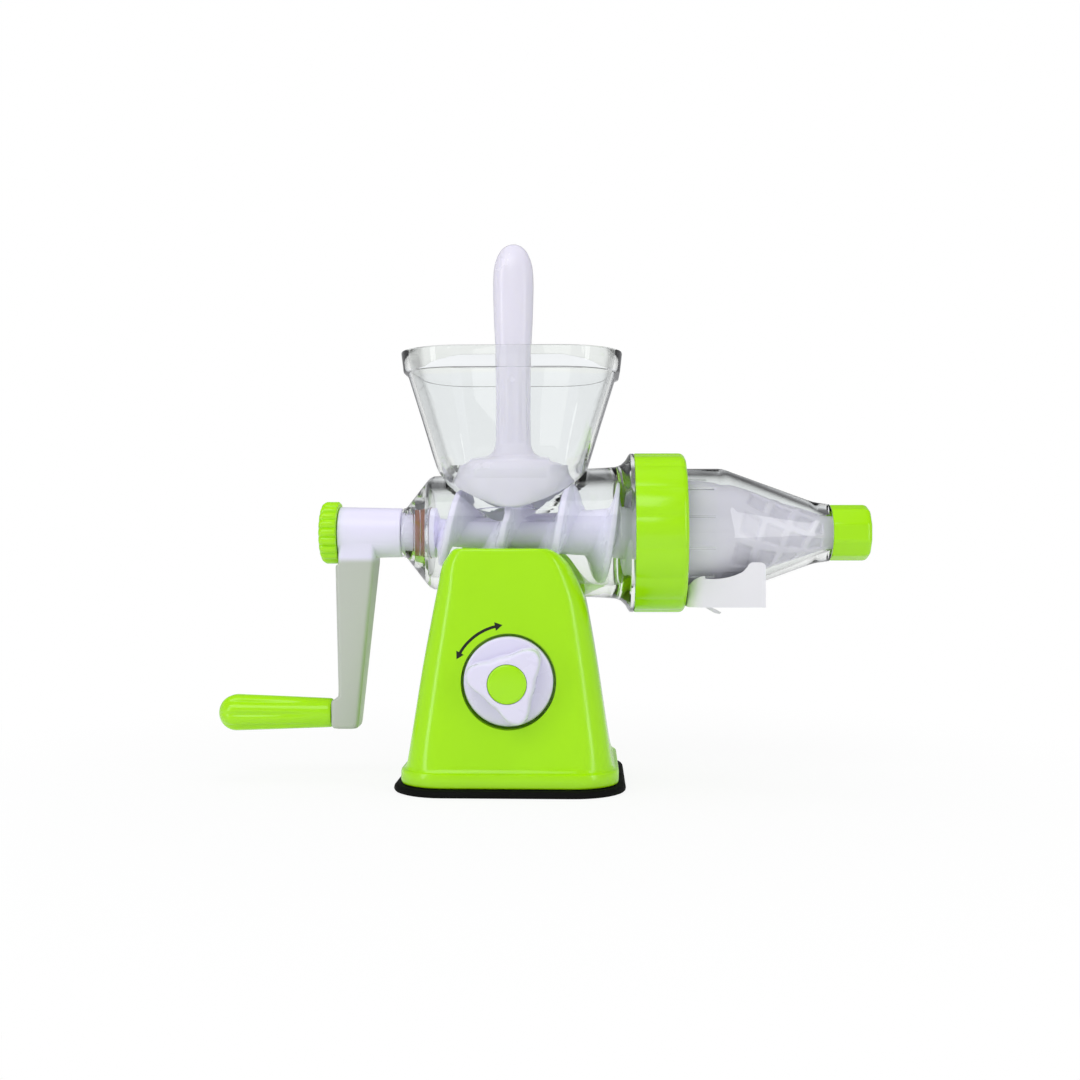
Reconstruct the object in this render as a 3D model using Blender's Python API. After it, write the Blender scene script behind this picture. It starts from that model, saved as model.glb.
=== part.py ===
"""Hand-cranked single-auger juicer on a suction base.

X runs along the barrel, from the crank at -X to the pulp outlet at +X. Y is the depth, with the
knob's side at -Y. Z is up, and the origin is the middle of the suction pad's underside.
"""

import math

import bmesh
import bpy
from mathutils import Matrix, Vector

MM = 0.001

# Clearances
GAP = 0.3 * MM  # between two pieces that touch or run in each other
MERGE = 0.002 * MM  # points nearer than this are one point
PAST = 2.0 * MM  # how far a cutter runs past the face that it cuts

# Facets
SIDES = 28  # round pieces that show
SMALL_SIDES = 12  # pins, screws and bores

# Heights and axes
AXIS_Z = 136.5 * MM  # axis of the barrel, the auger and the crank
KNOB_Z = 58.7 * MM  # axis of the suction knob
CRANK_THROW = 100.2 * MM  # from the barrel's axis to the grip's axis

# Suction pad
PAD_HALF = 61.5 * MM
PAD_CORNER = 28.0 * MM
PAD_THICK = 4.0 * MM
PAD_POCKET_FLOOR = 1.5 * MM

# Base housing: (height, half width, half depth, corner radius) from the lip to the cheeks' top,
# which follow the barrel's axis
LIP_HALF = 57.7 * MM
LIP_CORNER = 24.0 * MM
LIP_TOP = 12.0 * MM
BASE_TOP = AXIS_Z - 8.5 * MM
BASE_WALL = 2.6 * MM
BODY_SECTIONS = [
    (15.0 * MM, 54.6 * MM, 54.6 * MM, 19.0 * MM),
    (18.5 * MM, 53.5 * MM, 53.5 * MM, 17.0 * MM),
    (64.0 * MM, 46.7 * MM, 47.7 * MM, 15.5 * MM),
    (AXIS_Z - 37.5 * MM, 40.5 * MM, 43.2 * MM, 14.0 * MM),
    (AXIS_Z - 27.5 * MM, 37.4 * MM, 42.0 * MM, 13.0 * MM),
    (AXIS_Z - 18.5 * MM, 33.0 * MM, 40.8 * MM, 11.0 * MM),
    (AXIS_Z - 12.5 * MM, 28.6 * MM, 40.0 * MM, 9.0 * MM),
    (BASE_TOP, 23.5 * MM, 39.4 * MM, 6.0 * MM),
]
BOSS_OFFSET = 41.0 * MM
BOSS_RADIUS = 5.0 * MM
BOSS_TOP = 60.0 * MM

# Base plate and its screws
PLATE_THICK = 3.0 * MM
DOME_RADIUS = 18.5 * MM
DOME_WALL = 2.5 * MM
DOME_HEIGHT = 9.0 * MM
GUIDE_RADIUS = 8.0 * MM
GUIDE_HEIGHT = 10.0 * MM
SCREW_RADIUS = 1.8 * MM
SCREW_HEAD = 4.0 * MM
SCREW_HEAD_THICK = 1.8 * MM
SCREW_LENGTH = 14.0 * MM

# Suction knob, its well and its cam shaft
WELL_CLEARANCE = 1.5 * MM
WELL_WALL = 2.4 * MM
WELL_FLOOR_Y = -39.0 * MM
WELL_FLOOR_THICK = 3.0 * MM
DISC_RADIUS = 23.4 * MM
WELL_RADIUS = DISC_RADIUS + WELL_CLEARANCE
DISC_FRONT_Y = -48.6 * MM
LOBE_FRONT_Y = -62.5 * MM
LOBE_TIP = DISC_RADIUS - 0.6 * MM
LOBE_VALLEY = 14.6 * MM
LOBE_COUNT = 3
LOBE_TURN = math.radians(47.0)
KNOB_SWING = math.radians(75.0)
CAP_RADIUS = 10.1 * MM
CAP_THICK = 3.6 * MM
CAM_SHAFT_RADIUS = 5.0 * MM
CAM_RADIUS = 8.0 * MM
CAM_OFFSET = 3.0 * MM
CAM_HALF_WIDTH = 6.0 * MM
CAM_SHAFT_FRONT_Y = -46.0 * MM
CAM_SHAFT_REAR_Y = 25.5 * MM
REAR_BEARING_RADIUS = 8.0 * MM
REAR_BEARING_Y = 18.0 * MM
KNOB_SCREW_RADIUS = 1.6 * MM
KNOB_SCREW_HEAD = 3.6 * MM
KNOB_SCREW_HEAD_THICK = 2.4 * MM

# Pull stem
STEM_RADIUS = 5.0 * MM
STEM_FOOT_RADIUS = 14.0 * MM
STEM_FOOT_THICK = 2.0 * MM
YOKE_SLOT_HALF = 12.0 * MM
YOKE_RAIL = 3.5 * MM
YOKE_HALF_THICK = 4.6 * MM

# Barrel, from the neck at -X to the spigot at +X
NECK_END_X = -61.2 * MM
SHAFT_RADIUS = 9.3 * MM
NECK_RADIUS = SHAFT_RADIUS + 4.3 * MM
CONE_START_X = -59.6 * MM
CONE_END_X = -46.5 * MM
CONE_END_RADIUS = 30.0 * MM
BARREL_START_X = -43.7 * MM
BARREL_START_RADIUS = 31.4 * MM
BARREL_END_X = 56.4 * MM
BARREL_END_RADIUS = 36.2 * MM
FLANGE_X = 64.4 * MM
FLANGE_THICK = 2.0 * MM
SPIGOT_END_X = 84.6 * MM
SPIGOT_RADIUS = 38.3 * MM
FLANGE_RADIUS = SPIGOT_RADIUS + 5.4 * MM
FLANGE_FILLET = 3.0 * MM
FLANGE_FILLET_DROP = 4.6 * MM
CHAMBER_START_X = -45.0 * MM
CHAMBER_START_RADIUS = 25.3 * MM
CHAMBER_END_RADIUS = 29.5 * MM
SPIGOT_BORE = 30.4 * MM
FOOT_HALF_LENGTH = 15.0 * MM
FOOT_HALF_WIDTH = 6.0 * MM
FOOT_DEPTH = 5.0 * MM
SADDLE_WALL = 3.0 * MM

# Hopper: (height, half width, half depth, corner radius) from the throat to the rim
RIM_Z = AXIS_Z + 97.5 * MM
COLLAR_Z = AXIS_Z + 86.1 * MM
HOPPER_WALL = 2.3 * MM
THROAT_LESS = 4.0 * MM  # how much less deep the throat is than the hopper outside
THROAT_HALF_DEPTH = 30.0 * MM  # the least of it
HOPPER_SECTIONS = [
    (AXIS_Z + 1.5 * MM, 10.0 * MM, 31.0 * MM, 8.0 * MM),
    (AXIS_Z + 7.5 * MM, 17.5 * MM, 33.2 * MM, 12.0 * MM),
    (AXIS_Z + 13.5 * MM, 24.6 * MM, 33.6 * MM, 16.0 * MM),
    (AXIS_Z + 19.5 * MM, 29.9 * MM, 33.9 * MM, 18.0 * MM),
    (AXIS_Z + 23.5 * MM, 33.0 * MM, 34.2 * MM, 19.0 * MM),
    (AXIS_Z + 29.5 * MM, 37.4 * MM, 35.2 * MM, 20.0 * MM),
    (AXIS_Z + 36.0 * MM, 41.0 * MM, 36.6 * MM, 21.0 * MM),
    (AXIS_Z + 60.5 * MM, 48.6 * MM, 41.8 * MM, 26.0 * MM),
    (COLLAR_Z, 56.6 * MM, 47.6 * MM, 31.0 * MM),
]
RIM_HALF_WIDTH = 59.8 * MM
RIM_HALF_DEPTH = 50.6 * MM
RIM_CORNER = 33.5 * MM
COLLAR_STEP = 1.2 * MM
LEDGE_Z = AXIS_Z + 13.7 * MM
LEDGE_HALF_DEPTH = 24.4 * MM

# Bushing and seal in the neck
BUSHING_WALL = 1.6 * MM
SEAL_START_X = -49.6 * MM
SEAL_RADIUS = SHAFT_RADIUS + 4.8 * MM

# Auger: left-handed flight on a core that thickens towards the outlet
FLIGHT_GAP = 1.0 * MM
PITCH = 29.5 * MM
FLIGHT_FRONT_X = -4.0 * MM
FLIGHT_START_X = -37.0 * MM
FLIGHT_END_X = 164.0 * MM
FLIGHT_ROOT_WIDTH = 15.0 * MM
FLIGHT_TIP_WIDTH = 4.2 * MM
FLIGHT_STEP = math.radians(30.0)
FLIGHT_SINK = 1.2 * MM  # how far its root lies in the core
FLIGHT_SLOPE = 0.75  # how much wider it gets for each mm down, on both sides together
FLIGHT_ENTRY = 8.0 * MM  # length over which it narrows before the strainer
COLLAR_RADIUS = SEAL_RADIUS - 0.2 * MM
COLLAR_THICK = 3.0 * MM
CORE_PROFILE = [
    (-36.0 * MM, 7.5 * MM),
    (50.0 * MM, 13.3 * MM),
    (80.0 * MM, 16.0 * MM),
    (105.0 * MM, 17.0 * MM),
    (125.0 * MM, 14.5 * MM),
    (147.0 * MM, 9.0 * MM),
    (168.0 * MM, 4.5 * MM),
]
SQUARE_HALF = 6.4 * MM
SQUARE_END_X = -86.0 * MM
STUD_RADIUS = 3.0 * MM
STUD_DEPTH = 12.0 * MM

# Crank
HUB_END_X = -96.2 * MM
HUB_RADIUS_OUT = NECK_RADIUS + 0.7 * MM
NUT_THICK = 9.8 * MM
NUT_RADIUS = 17.2 * MM
NUT_TEETH = 20
NUT_TOOTH = 1.3 * MM
ARM_LEFT_X = -97.4 * MM
ARM_RIGHT_TOP_X = -75.6 * MM
ARM_RIGHT_FOOT_X = -85.4 * MM
ARM_HALF_TOP = 12.6 * MM
ARM_HALF_FOOT = 8.6 * MM
ARM_BOSS_X = -100.4 * MM
ARM_BOSS_RADIUS = 8.2 * MM
GRIP_END_X = -164.4 * MM
GRIP_RADIUS_BALL = 10.2 * MM
GRIP_RADIUS_ARM = 8.0 * MM
PIN_RADIUS = 3.0 * MM
PIN_END_X = -150.0 * MM
PIN_ROOT_X = -89.0 * MM

# Locking ring, gasket and cover
RING_START_X = 66.7 * MM
RING_END_X = 94.5 * MM
RING_RADIUS = SPIGOT_RADIUS + 5.6 * MM
RING_SCALLOPS = 16
RING_SCALLOP = 0.8 * MM
GASKET_THICK = 2.2 * MM
COVER_RADIUS = SPIGOT_RADIUS - 3.0 * MM
GASKET_INNER = COVER_RADIUS - 2.3 * MM
COVER_WALL = 3.1 * MM
COVER_FLANGE_THICK = 3.5 * MM
COVER_FLANGE_RADIUS = SPIGOT_RADIUS - 0.1 * MM
COVER_CONE_X = 116.4 * MM
COVER_NECK_X = 164.8 * MM
COVER_NECK_RADIUS = 17.0 * MM
COVER_END_X = 174.0 * MM
COVER_END_RADIUS = 15.6 * MM
COVER_SPIGOT_RADIUS = 13.0 * MM
COVER_SPIGOT_END_X = 187.0 * MM
COVER_BORE = 10.2 * MM
JUICE_SLOT_START_X = 101.0 * MM
JUICE_SLOT_END_X = 113.0 * MM
JUICE_SLOT_HALF = 12.0 * MM

# Strainer
STRAINER_WALL = 1.8 * MM
STRAINER_FLANGE_RADIUS = COVER_RADIUS - 2.7 * MM
STRAINER_FLANGE_THICK = 3.0 * MM
STRAINER_PROFILE = [
    (88.0 * MM, 29.6 * MM),
    (105.0 * MM, 28.6 * MM),
    (111.0 * MM, 28.0 * MM),
    (125.0 * MM, 24.3 * MM),
    (147.0 * MM, 16.8 * MM),
    (172.0 * MM, 9.4 * MM),
    (179.0 * MM, 9.2 * MM),
]
SLOT_COUNT = 8
SLOT_HALF_WIDTH = 0.8 * MM
SLOT_START_X = 114.0 * MM
SLOT_END_X = 142.0 * MM

# Juice spout
SPOUT_END_X = 136.0 * MM
SPOUT_HALF = 27.0 * MM
SPOUT_BOTTOM_Z = AXIS_Z - COVER_RADIUS - 4.7 * MM
SPOUT_TOP_Z = AXIS_Z - 15.9 * MM
SPOUT_WALL = 2.0 * MM
SPOUT_CORNER = 9.0 * MM
TAB_START_X = 127.0 * MM
DRIP_HOLE_X = 108.0 * MM
DRIP_HOLE_RADIUS = 4.5 * MM
DRIP_LIP_DROP = 4.6 * MM

# End cap
CAP_END_X = 195.2 * MM
END_CAP_RADIUS = 15.5 * MM
END_CAP_FACETS = 10
END_CAP_HOLE = 7.0 * MM

# Pusher: (height, half width, half depth) from the foot, which rests on the ledge over the
# barrel's axis, to the top of the grip
PUSHER_SECTIONS = [
    (AXIS_Z + 14.0 * MM, 12.0 * MM, 26.6 * MM),
    (AXIS_Z + 15.7 * MM, 19.0 * MM, 27.0 * MM),
    (AXIS_Z + 19.1 * MM, 25.2 * MM, 27.0 * MM),
    (AXIS_Z + 23.5 * MM, 29.2 * MM, 27.0 * MM),
    (AXIS_Z + 28.5 * MM, 31.0 * MM, 26.8 * MM),
    (AXIS_Z + 33.5 * MM, 30.6 * MM, 26.0 * MM),
    (AXIS_Z + 37.1 * MM, 27.6 * MM, 23.0 * MM),
    (AXIS_Z + 39.1 * MM, 21.0 * MM, 17.0 * MM),
    (AXIS_Z + 41.5 * MM, 13.4 * MM, 11.0 * MM),
    (AXIS_Z + 46.5 * MM, 10.4 * MM, 8.6 * MM),
    (AXIS_Z + 55.5 * MM, 9.7 * MM, 8.0 * MM),
    (AXIS_Z + 95.5 * MM, 9.8 * MM, 8.4 * MM),
    (AXIS_Z + 119.5 * MM, 10.8 * MM, 9.6 * MM),
    (AXIS_Z + 137.5 * MM, 11.2 * MM, 10.0 * MM),
    (AXIS_Z + 147.5 * MM, 10.6 * MM, 9.4 * MM),
    (AXIS_Z + 154.5 * MM, 8.2 * MM, 7.2 * MM),
    (AXIS_Z + 158.5 * MM, 4.4 * MM, 3.8 * MM),
    (AXIS_Z + 159.7 * MM, 1.2 * MM, 1.0 * MM),
]
PUSHER_ARCH = 28.8 * MM

# Colours (linear) of the base materials: (red, green, blue), roughness, metallic
FINISHES = {
    "green": ((0.366, 0.806, 0.007), 0.22, 0.0),
    "white": ((0.76, 0.74, 0.93), 0.35, 0.0),
    "clear": ((0.90, 0.92, 0.92), 0.05, 0.0),
    "frosted": ((0.80, 0.78, 0.95), 0.30, 0.0),
    "rubber": ((0.012, 0.012, 0.012), 0.75, 0.0),
    "silicone": ((0.42, 0.20, 0.12), 0.60, 0.0),
    "steel": ((0.60, 0.60, 0.62), 0.25, 1.0),
}


# ---------------------------------------------------------------- scene and materials


def clear_scene():
    for obj in list(bpy.data.objects):
        bpy.data.objects.remove(obj)


def make_materials():
    for name, (colour, roughness, metallic) in FINISHES.items():
        material = bpy.data.materials.new(name)
        material.use_nodes = True
        shader = material.node_tree.nodes["Principled BSDF"]
        shader.inputs["Base Color"].default_value = (*colour, 1.0)
        shader.inputs["Roughness"].default_value = roughness
        shader.inputs["Metallic"].default_value = metallic


# ---------------------------------------------------------------- meshes and objects


def place_object(name, bm, finish=None, origin=(0.0, 0.0, 0.0)):
    """Makes the object, with its faces pointing out and its origin on the given point."""
    bmesh.ops.remove_doubles(bm, verts=bm.verts, dist=MERGE)
    bmesh.ops.recalc_face_normals(bm, faces=bm.faces)
    bmesh.ops.translate(bm, verts=bm.verts, vec=-Vector(origin))
    mesh = bpy.data.meshes.new(name)
    bm.to_mesh(mesh)
    bm.free()
    mesh.shade_smooth()
    mesh.set_sharp_from_angle(angle=math.radians(35.0))
    obj = bpy.data.objects.new(name, mesh)
    obj.location = origin
    bpy.context.scene.collection.objects.link(obj)
    if finish:
        mesh.materials.append(bpy.data.materials[finish])
    return obj


def helper(name, bm):
    """A cutter or an added shape, which is not a piece of the juicer."""
    obj = place_object(name, bm)
    obj.hide_render = True
    obj.display_type = "WIRE"
    return obj


def combine(obj, other, operation):
    """Adds or cuts a helper. Helpers named one after the other for the same operation share
    one Boolean, which takes them all at once."""
    modifier = obj.modifiers[-1] if obj.modifiers else None
    if modifier is None or modifier.operation != operation:
        modifier = obj.modifiers.new(operation.lower(), "BOOLEAN")
        modifier.operation = operation
        modifier.solver = "EXACT"
        modifier.operand_type = "COLLECTION"
        modifier.collection = bpy.data.collections.new(f"{obj.name} {operation.lower()}")
    modifier.collection.objects.link(other)


def cut(obj, *others):
    for other in others:
        combine(obj, other, "DIFFERENCE")


def add(obj, *others):
    for other in others:
        combine(obj, other, "UNION")


def turned(outline, axis="X", centre=(0.0, 0.0, 0.0), sides=SIDES):
    """A solid of revolution. The outline is (place along the axis, radius), closed if it never
    reaches the axis, or else from one end of the axis to the other."""
    bm = bmesh.new()
    verts = [bm.verts.new((along, radius, 0.0)) for along, radius in outline]
    edges = [bm.edges.new(pair) for pair in zip(verts, verts[1:])]
    if outline[0][1] > 0.0:
        edges.append(bm.edges.new((verts[-1], verts[0])))
    bmesh.ops.spin(
        bm,
        geom=verts + edges,
        cent=(0.0, 0.0, 0.0),
        axis=(1.0, 0.0, 0.0),
        angle=math.tau,
        steps=sides,
        use_merge=True,
    )
    turn = {
        "X": Matrix.Identity(4),
        "Y": Matrix.Rotation(math.pi / 2, 4, "Z"),
        "Z": Matrix.Rotation(-math.pi / 2, 4, "Y"),
    }[axis]
    bmesh.ops.transform(bm, matrix=Matrix.Translation(centre) @ turn, verts=bm.verts)
    return bm


def rod(start, end, radius, axis="X", centre=(0.0, 0.0, 0.0), sides=SMALL_SIDES):
    outline = [(start, 0.0), (start, radius), (end, radius), (end, 0.0)]
    return turned(outline, axis, centre, sides)


def block(low, high):
    bm = bmesh.new()
    bmesh.ops.create_cube(bm, size=1.0)
    size = Vector(high) - Vector(low)
    middle = (Vector(high) + Vector(low)) / 2
    bmesh.ops.scale(bm, vec=size, verts=bm.verts)
    bmesh.ops.translate(bm, vec=middle, verts=bm.verts)
    return bm


def lofted(loops):
    """A closed solid through loops of equally many points, with both ends filled."""
    bm = bmesh.new()
    rings = [[bm.verts.new(point) for point in points] for points in loops]
    for ring, after in zip(rings, rings[1:]):
        for corner in range(len(ring)):
            bm.faces.new((ring[corner - 1], ring[corner], after[corner], after[corner - 1]))
    bm.faces.new(rings[0])
    bm.faces.new(rings[-1])
    return bm


def rounded_rectangle(half_x, half_y, corner, steps=3):
    """Points of a rectangle with round corners, round the Z axis."""
    corner = min(corner, half_x * 0.98, half_y * 0.98)
    points = []
    for quarter, (sign_x, sign_y) in enumerate([(1, 1), (-1, 1), (-1, -1), (1, -1)]):
        middle = Vector((sign_x * (half_x - corner), sign_y * (half_y - corner)))
        for step in range(steps + 1):
            angle = (quarter + step / steps) * math.pi / 2
            points.append(middle + corner * Vector((math.cos(angle), math.sin(angle))))
    return points


def stacked(sections, inset=0.0):
    """A solid through rounded rectangles, each (height, half width, half depth, corner)."""
    loops = []
    for height, half_x, half_y, corner in sections:
        flat = rounded_rectangle(half_x - inset, half_y - inset, max(corner - inset, 1.0 * MM))
        loops.append([(point.x, point.y, height) for point in flat])
    return lofted(loops)


def polar_x(stations, radius_at, sides, centre_z=AXIS_Z):
    """A solid along X, through loops whose radius depends on the angle. A station is
    (x, how much is taken off the radius)."""
    loops = []
    for x, less in stations:
        loop = []
        for side in range(sides):
            angle = math.tau * side / sides
            radius = radius_at(angle) - less
            loop.append((x, radius * math.cos(angle), centre_z + radius * math.sin(angle)))
        loops.append(loop)
    return lofted(loops)


def along_line(profile, place):
    """The radius of a profile of (place, radius) points at one place, straight between them."""
    if place <= profile[0][0]:
        return profile[0][1]
    for (low, low_radius), (high, high_radius) in zip(profile, profile[1:]):
        if place <= high:
            share = (place - low) / (high - low)
            return low_radius + share * (high_radius - low_radius)
    return profile[-1][1]


AXIS = (0.0, 0.0, AXIS_Z)
KNOB_AXIS = (0.0, 0.0, KNOB_Z)
GRIP_Z = AXIS_Z - CRANK_THROW
GRIP_AXIS = (0.0, 0.0, GRIP_Z)


# ---------------------------------------------------------------- base


LIP_BOTTOM = PAD_THICK + GAP
PLATE_TOP = LIP_BOTTOM + PLATE_THICK
SCREW_PLACES = [(x * BOSS_OFFSET, y * BOSS_OFFSET) for x in (-1, 1) for y in (-1, 1)]


def barrel_outside(x):
    slope = (BARREL_END_RADIUS - BARREL_START_RADIUS) / (BARREL_END_X - BARREL_START_X)
    return BARREL_START_RADIUS + slope * (x - BARREL_START_X)


def make_suction_pad():
    sections = [
        (0.0, PAD_HALF - 1.4 * MM, PAD_HALF - 1.4 * MM, PAD_CORNER),
        (1.2 * MM, PAD_HALF, PAD_HALF, PAD_CORNER),
        (PAD_THICK - 0.8 * MM, PAD_HALF - 0.4 * MM, PAD_HALF - 0.4 * MM, PAD_CORNER),
        (PAD_THICK, PAD_HALF - 1.6 * MM, PAD_HALF - 1.6 * MM, PAD_CORNER),
    ]
    pad = place_object("suction_pad", stacked(sections), "rubber")
    pocket_radius = STEM_FOOT_RADIUS + GAP
    pocket = rod(PAD_POCKET_FLOOR, PAD_THICK + PAST, pocket_radius, "Z", sides=SIDES)
    cut(pad, helper("pad_pocket", pocket))


def make_base_shell():
    lip = [
        (LIP_BOTTOM, LIP_HALF - 0.8 * MM, LIP_HALF - 0.8 * MM, LIP_CORNER),
        (LIP_BOTTOM + 1.2 * MM, LIP_HALF, LIP_HALF, LIP_CORNER),
        (LIP_TOP - 0.9 * MM, LIP_HALF, LIP_HALF, LIP_CORNER),
        (LIP_TOP, LIP_HALF - 0.9 * MM, LIP_HALF - 0.9 * MM, LIP_CORNER),
    ]
    shell = place_object("base_shell", stacked(lip + BODY_SECTIONS), "green")

    hollow = [
        (LIP_BOTTOM - PAST, LIP_HALF, LIP_HALF, LIP_CORNER),
        (LIP_TOP - BASE_WALL, LIP_HALF, LIP_HALF, LIP_CORNER),
    ]
    for height, half_x, half_y, corner in BODY_SECTIONS[:-1]:
        hollow.append((height - 0.4 * BASE_WALL, half_x, half_y, corner))
    cavity = helper("base_cavity", stacked(hollow, BASE_WALL))

    reach = 70.0 * MM
    roof = [
        (-reach, 0.0),
        (-reach, barrel_outside(-reach) + GAP + SADDLE_WALL),
        (reach, barrel_outside(reach) + GAP + SADDLE_WALL),
        (reach, 0.0),
    ]
    cut(cavity, helper("saddle_roof", turned(roof, "X", AXIS)))
    well_back = WELL_FLOOR_Y + WELL_FLOOR_THICK
    cup = rod(-reach, well_back, WELL_RADIUS + WELL_WALL, "Y", KNOB_AXIS, SIDES)
    cut(cavity, helper("knob_cup", cup))
    bearing = rod(REAR_BEARING_Y, reach, REAR_BEARING_RADIUS, "Y", KNOB_AXIS)
    cut(cavity, helper("rear_bearing", bearing))
    for number, (x, y) in enumerate(SCREW_PLACES, 1):
        boss = rod(PLATE_TOP + GAP, BOSS_TOP, BOSS_RADIUS, "Z", (x, y, 0.0))
        cut(cavity, helper(f"boss_{number}", boss))
    cut(shell, cavity)

    saddle = [(x, radius - SADDLE_WALL if radius else 0.0) for x, radius in roof]
    cut(shell, helper("saddle", turned(saddle, "X", AXIS, 2 * SIDES)))
    well = rod(-reach, WELL_FLOOR_Y, WELL_RADIUS, "Y", KNOB_AXIS, SIDES)
    cut(shell, helper("knob_well", well))
    shaft_hole = rod(-reach, CAM_SHAFT_REAR_Y + GAP, CAM_SHAFT_RADIUS + GAP, "Y", KNOB_AXIS)
    cut(shell, helper("cam_shaft_hole", shaft_hole))
    slot_low = AXIS_Z - barrel_outside(0.0) - SADDLE_WALL - 4.0 * MM
    slot = block(
        (-FOOT_HALF_LENGTH - GAP, -FOOT_HALF_WIDTH - GAP, slot_low),
        (FOOT_HALF_LENGTH + GAP, FOOT_HALF_WIDTH + GAP, AXIS_Z),
    )
    cut(shell, helper("barrel_foot_slot", slot))
    pilot_top = LIP_BOTTOM + SCREW_HEAD_THICK + SCREW_LENGTH + 2 * GAP
    for number, (x, y) in enumerate(SCREW_PLACES, 1):
        pilot = rod(PLATE_TOP - PAST, pilot_top, SCREW_RADIUS + GAP, "Z", (x, y, 0.0))
        cut(shell, helper(f"pilot_{number}", pilot))


def make_base_plate():
    half = LIP_HALF - BASE_WALL - GAP
    corner = LIP_CORNER - BASE_WALL - GAP
    slab = stacked([(LIP_BOTTOM, half, half, corner), (PLATE_TOP, half, half, corner)])
    plate = place_object("base_plate", slab, "white")
    dome_top = LIP_BOTTOM + DOME_HEIGHT
    dome = [
        (LIP_BOTTOM + 1.0 * MM, 0.0),
        (LIP_BOTTOM + 1.0 * MM, DOME_RADIUS),
        (dome_top, DOME_RADIUS),
        (dome_top, GUIDE_RADIUS),
        (dome_top + GUIDE_HEIGHT, GUIDE_RADIUS),
        (dome_top + GUIDE_HEIGHT, 0.0),
    ]
    add(plate, helper("plate_dome", turned(dome, "Z")))
    room = [
        (LIP_BOTTOM - PAST, 0.0),
        (LIP_BOTTOM - PAST, DOME_RADIUS - DOME_WALL),
        (dome_top - DOME_WALL, DOME_RADIUS - DOME_WALL),
        (dome_top - DOME_WALL, STEM_RADIUS + GAP),
        (dome_top + GUIDE_HEIGHT + PAST, STEM_RADIUS + GAP),
        (dome_top + GUIDE_HEIGHT + PAST, 0.0),
    ]
    cut(plate, helper("plate_room", turned(room, "Z")))
    head_room = LIP_BOTTOM + SCREW_HEAD_THICK + GAP
    for number, (x, y) in enumerate(SCREW_PLACES, 1):
        hole = [
            (LIP_BOTTOM - PAST, 0.0),
            (LIP_BOTTOM - PAST, SCREW_HEAD + GAP),
            (head_room, SCREW_HEAD + GAP),
            (head_room, SCREW_RADIUS + GAP),
            (PLATE_TOP + PAST, SCREW_RADIUS + GAP),
            (PLATE_TOP + PAST, 0.0),
        ]
        cut(plate, helper(f"plate_hole_{number}", turned(hole, "Z", (x, y, 0.0), SMALL_SIDES)))


def make_base_screws():
    head_top = LIP_BOTTOM + SCREW_HEAD_THICK
    for number, (x, y) in enumerate(SCREW_PLACES, 1):
        outline = [
            (LIP_BOTTOM, 0.0),
            (LIP_BOTTOM, SCREW_HEAD),
            (head_top, SCREW_HEAD),
            (head_top, SCREW_RADIUS),
            (head_top + SCREW_LENGTH, SCREW_RADIUS),
            (head_top + SCREW_LENGTH, 0.0),
        ]
        place_object(f"base_screw_{number}", turned(outline, "Z", (x, y, 0.0), 8), "steel")


# ---------------------------------------------------------------- suction knob and pull stem


def lobe_radius(angle):
    """The grip's outline: narrow round lobes with wide shallow valleys between them."""
    swell = (1.0 + math.cos(LOBE_COUNT * (angle - LOBE_TURN))) / 2
    return LOBE_VALLEY + (LOBE_TIP - LOBE_VALLEY) * swell**2.0


def make_knob():
    back = WELL_FLOOR_Y - GAP
    knob = place_object(
        "knob", rod(DISC_FRONT_Y, back, DISC_RADIUS, "Y", KNOB_AXIS, SIDES), "white", KNOB_AXIS
    )
    loops = []
    for y, less in [
        (DISC_FRONT_Y + 1.0 * MM, 0.0),
        (LOBE_FRONT_Y + 1.6 * MM, 0.4 * MM),
        (LOBE_FRONT_Y, 2.0 * MM),
    ]:
        loop = []
        for side in range(SIDES):
            angle = math.tau * side / SIDES
            radius = lobe_radius(angle) - less
            loop.append((radius * math.cos(angle), y, KNOB_Z + radius * math.sin(angle)))
        loops.append(loop)
    add(knob, helper("knob_lobes", lofted(loops)))
    cap_floor = LOBE_FRONT_Y + CAP_THICK
    head_floor = cap_floor + KNOB_SCREW_HEAD_THICK + 2 * GAP
    room = [
        (LOBE_FRONT_Y - PAST, 0.0),
        (LOBE_FRONT_Y - PAST, CAP_RADIUS + GAP),
        (cap_floor + GAP, CAP_RADIUS + GAP),
        (cap_floor + GAP, KNOB_SCREW_HEAD + GAP),
        (head_floor, KNOB_SCREW_HEAD + GAP),
        (head_floor, KNOB_SCREW_RADIUS + GAP),
        (CAM_SHAFT_FRONT_Y - GAP, KNOB_SCREW_RADIUS + GAP),
        (CAM_SHAFT_FRONT_Y - GAP, CAM_SHAFT_RADIUS + GAP),
        (back + PAST, CAM_SHAFT_RADIUS + GAP),
        (back + PAST, 0.0),
    ]
    cut(knob, helper("knob_room", turned(room, "Y", KNOB_AXIS)))


def make_knob_cap():
    front = LOBE_FRONT_Y - 0.4 * MM
    outline = [
        (front, 0.0),
        (front, CAP_RADIUS - 1.0 * MM),
        (front + 0.8 * MM, CAP_RADIUS),
        (LOBE_FRONT_Y + CAP_THICK, CAP_RADIUS),
        (LOBE_FRONT_Y + CAP_THICK, 0.0),
    ]
    place_object("knob_cap", turned(outline, "Y", KNOB_AXIS), "green", KNOB_AXIS)


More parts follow.
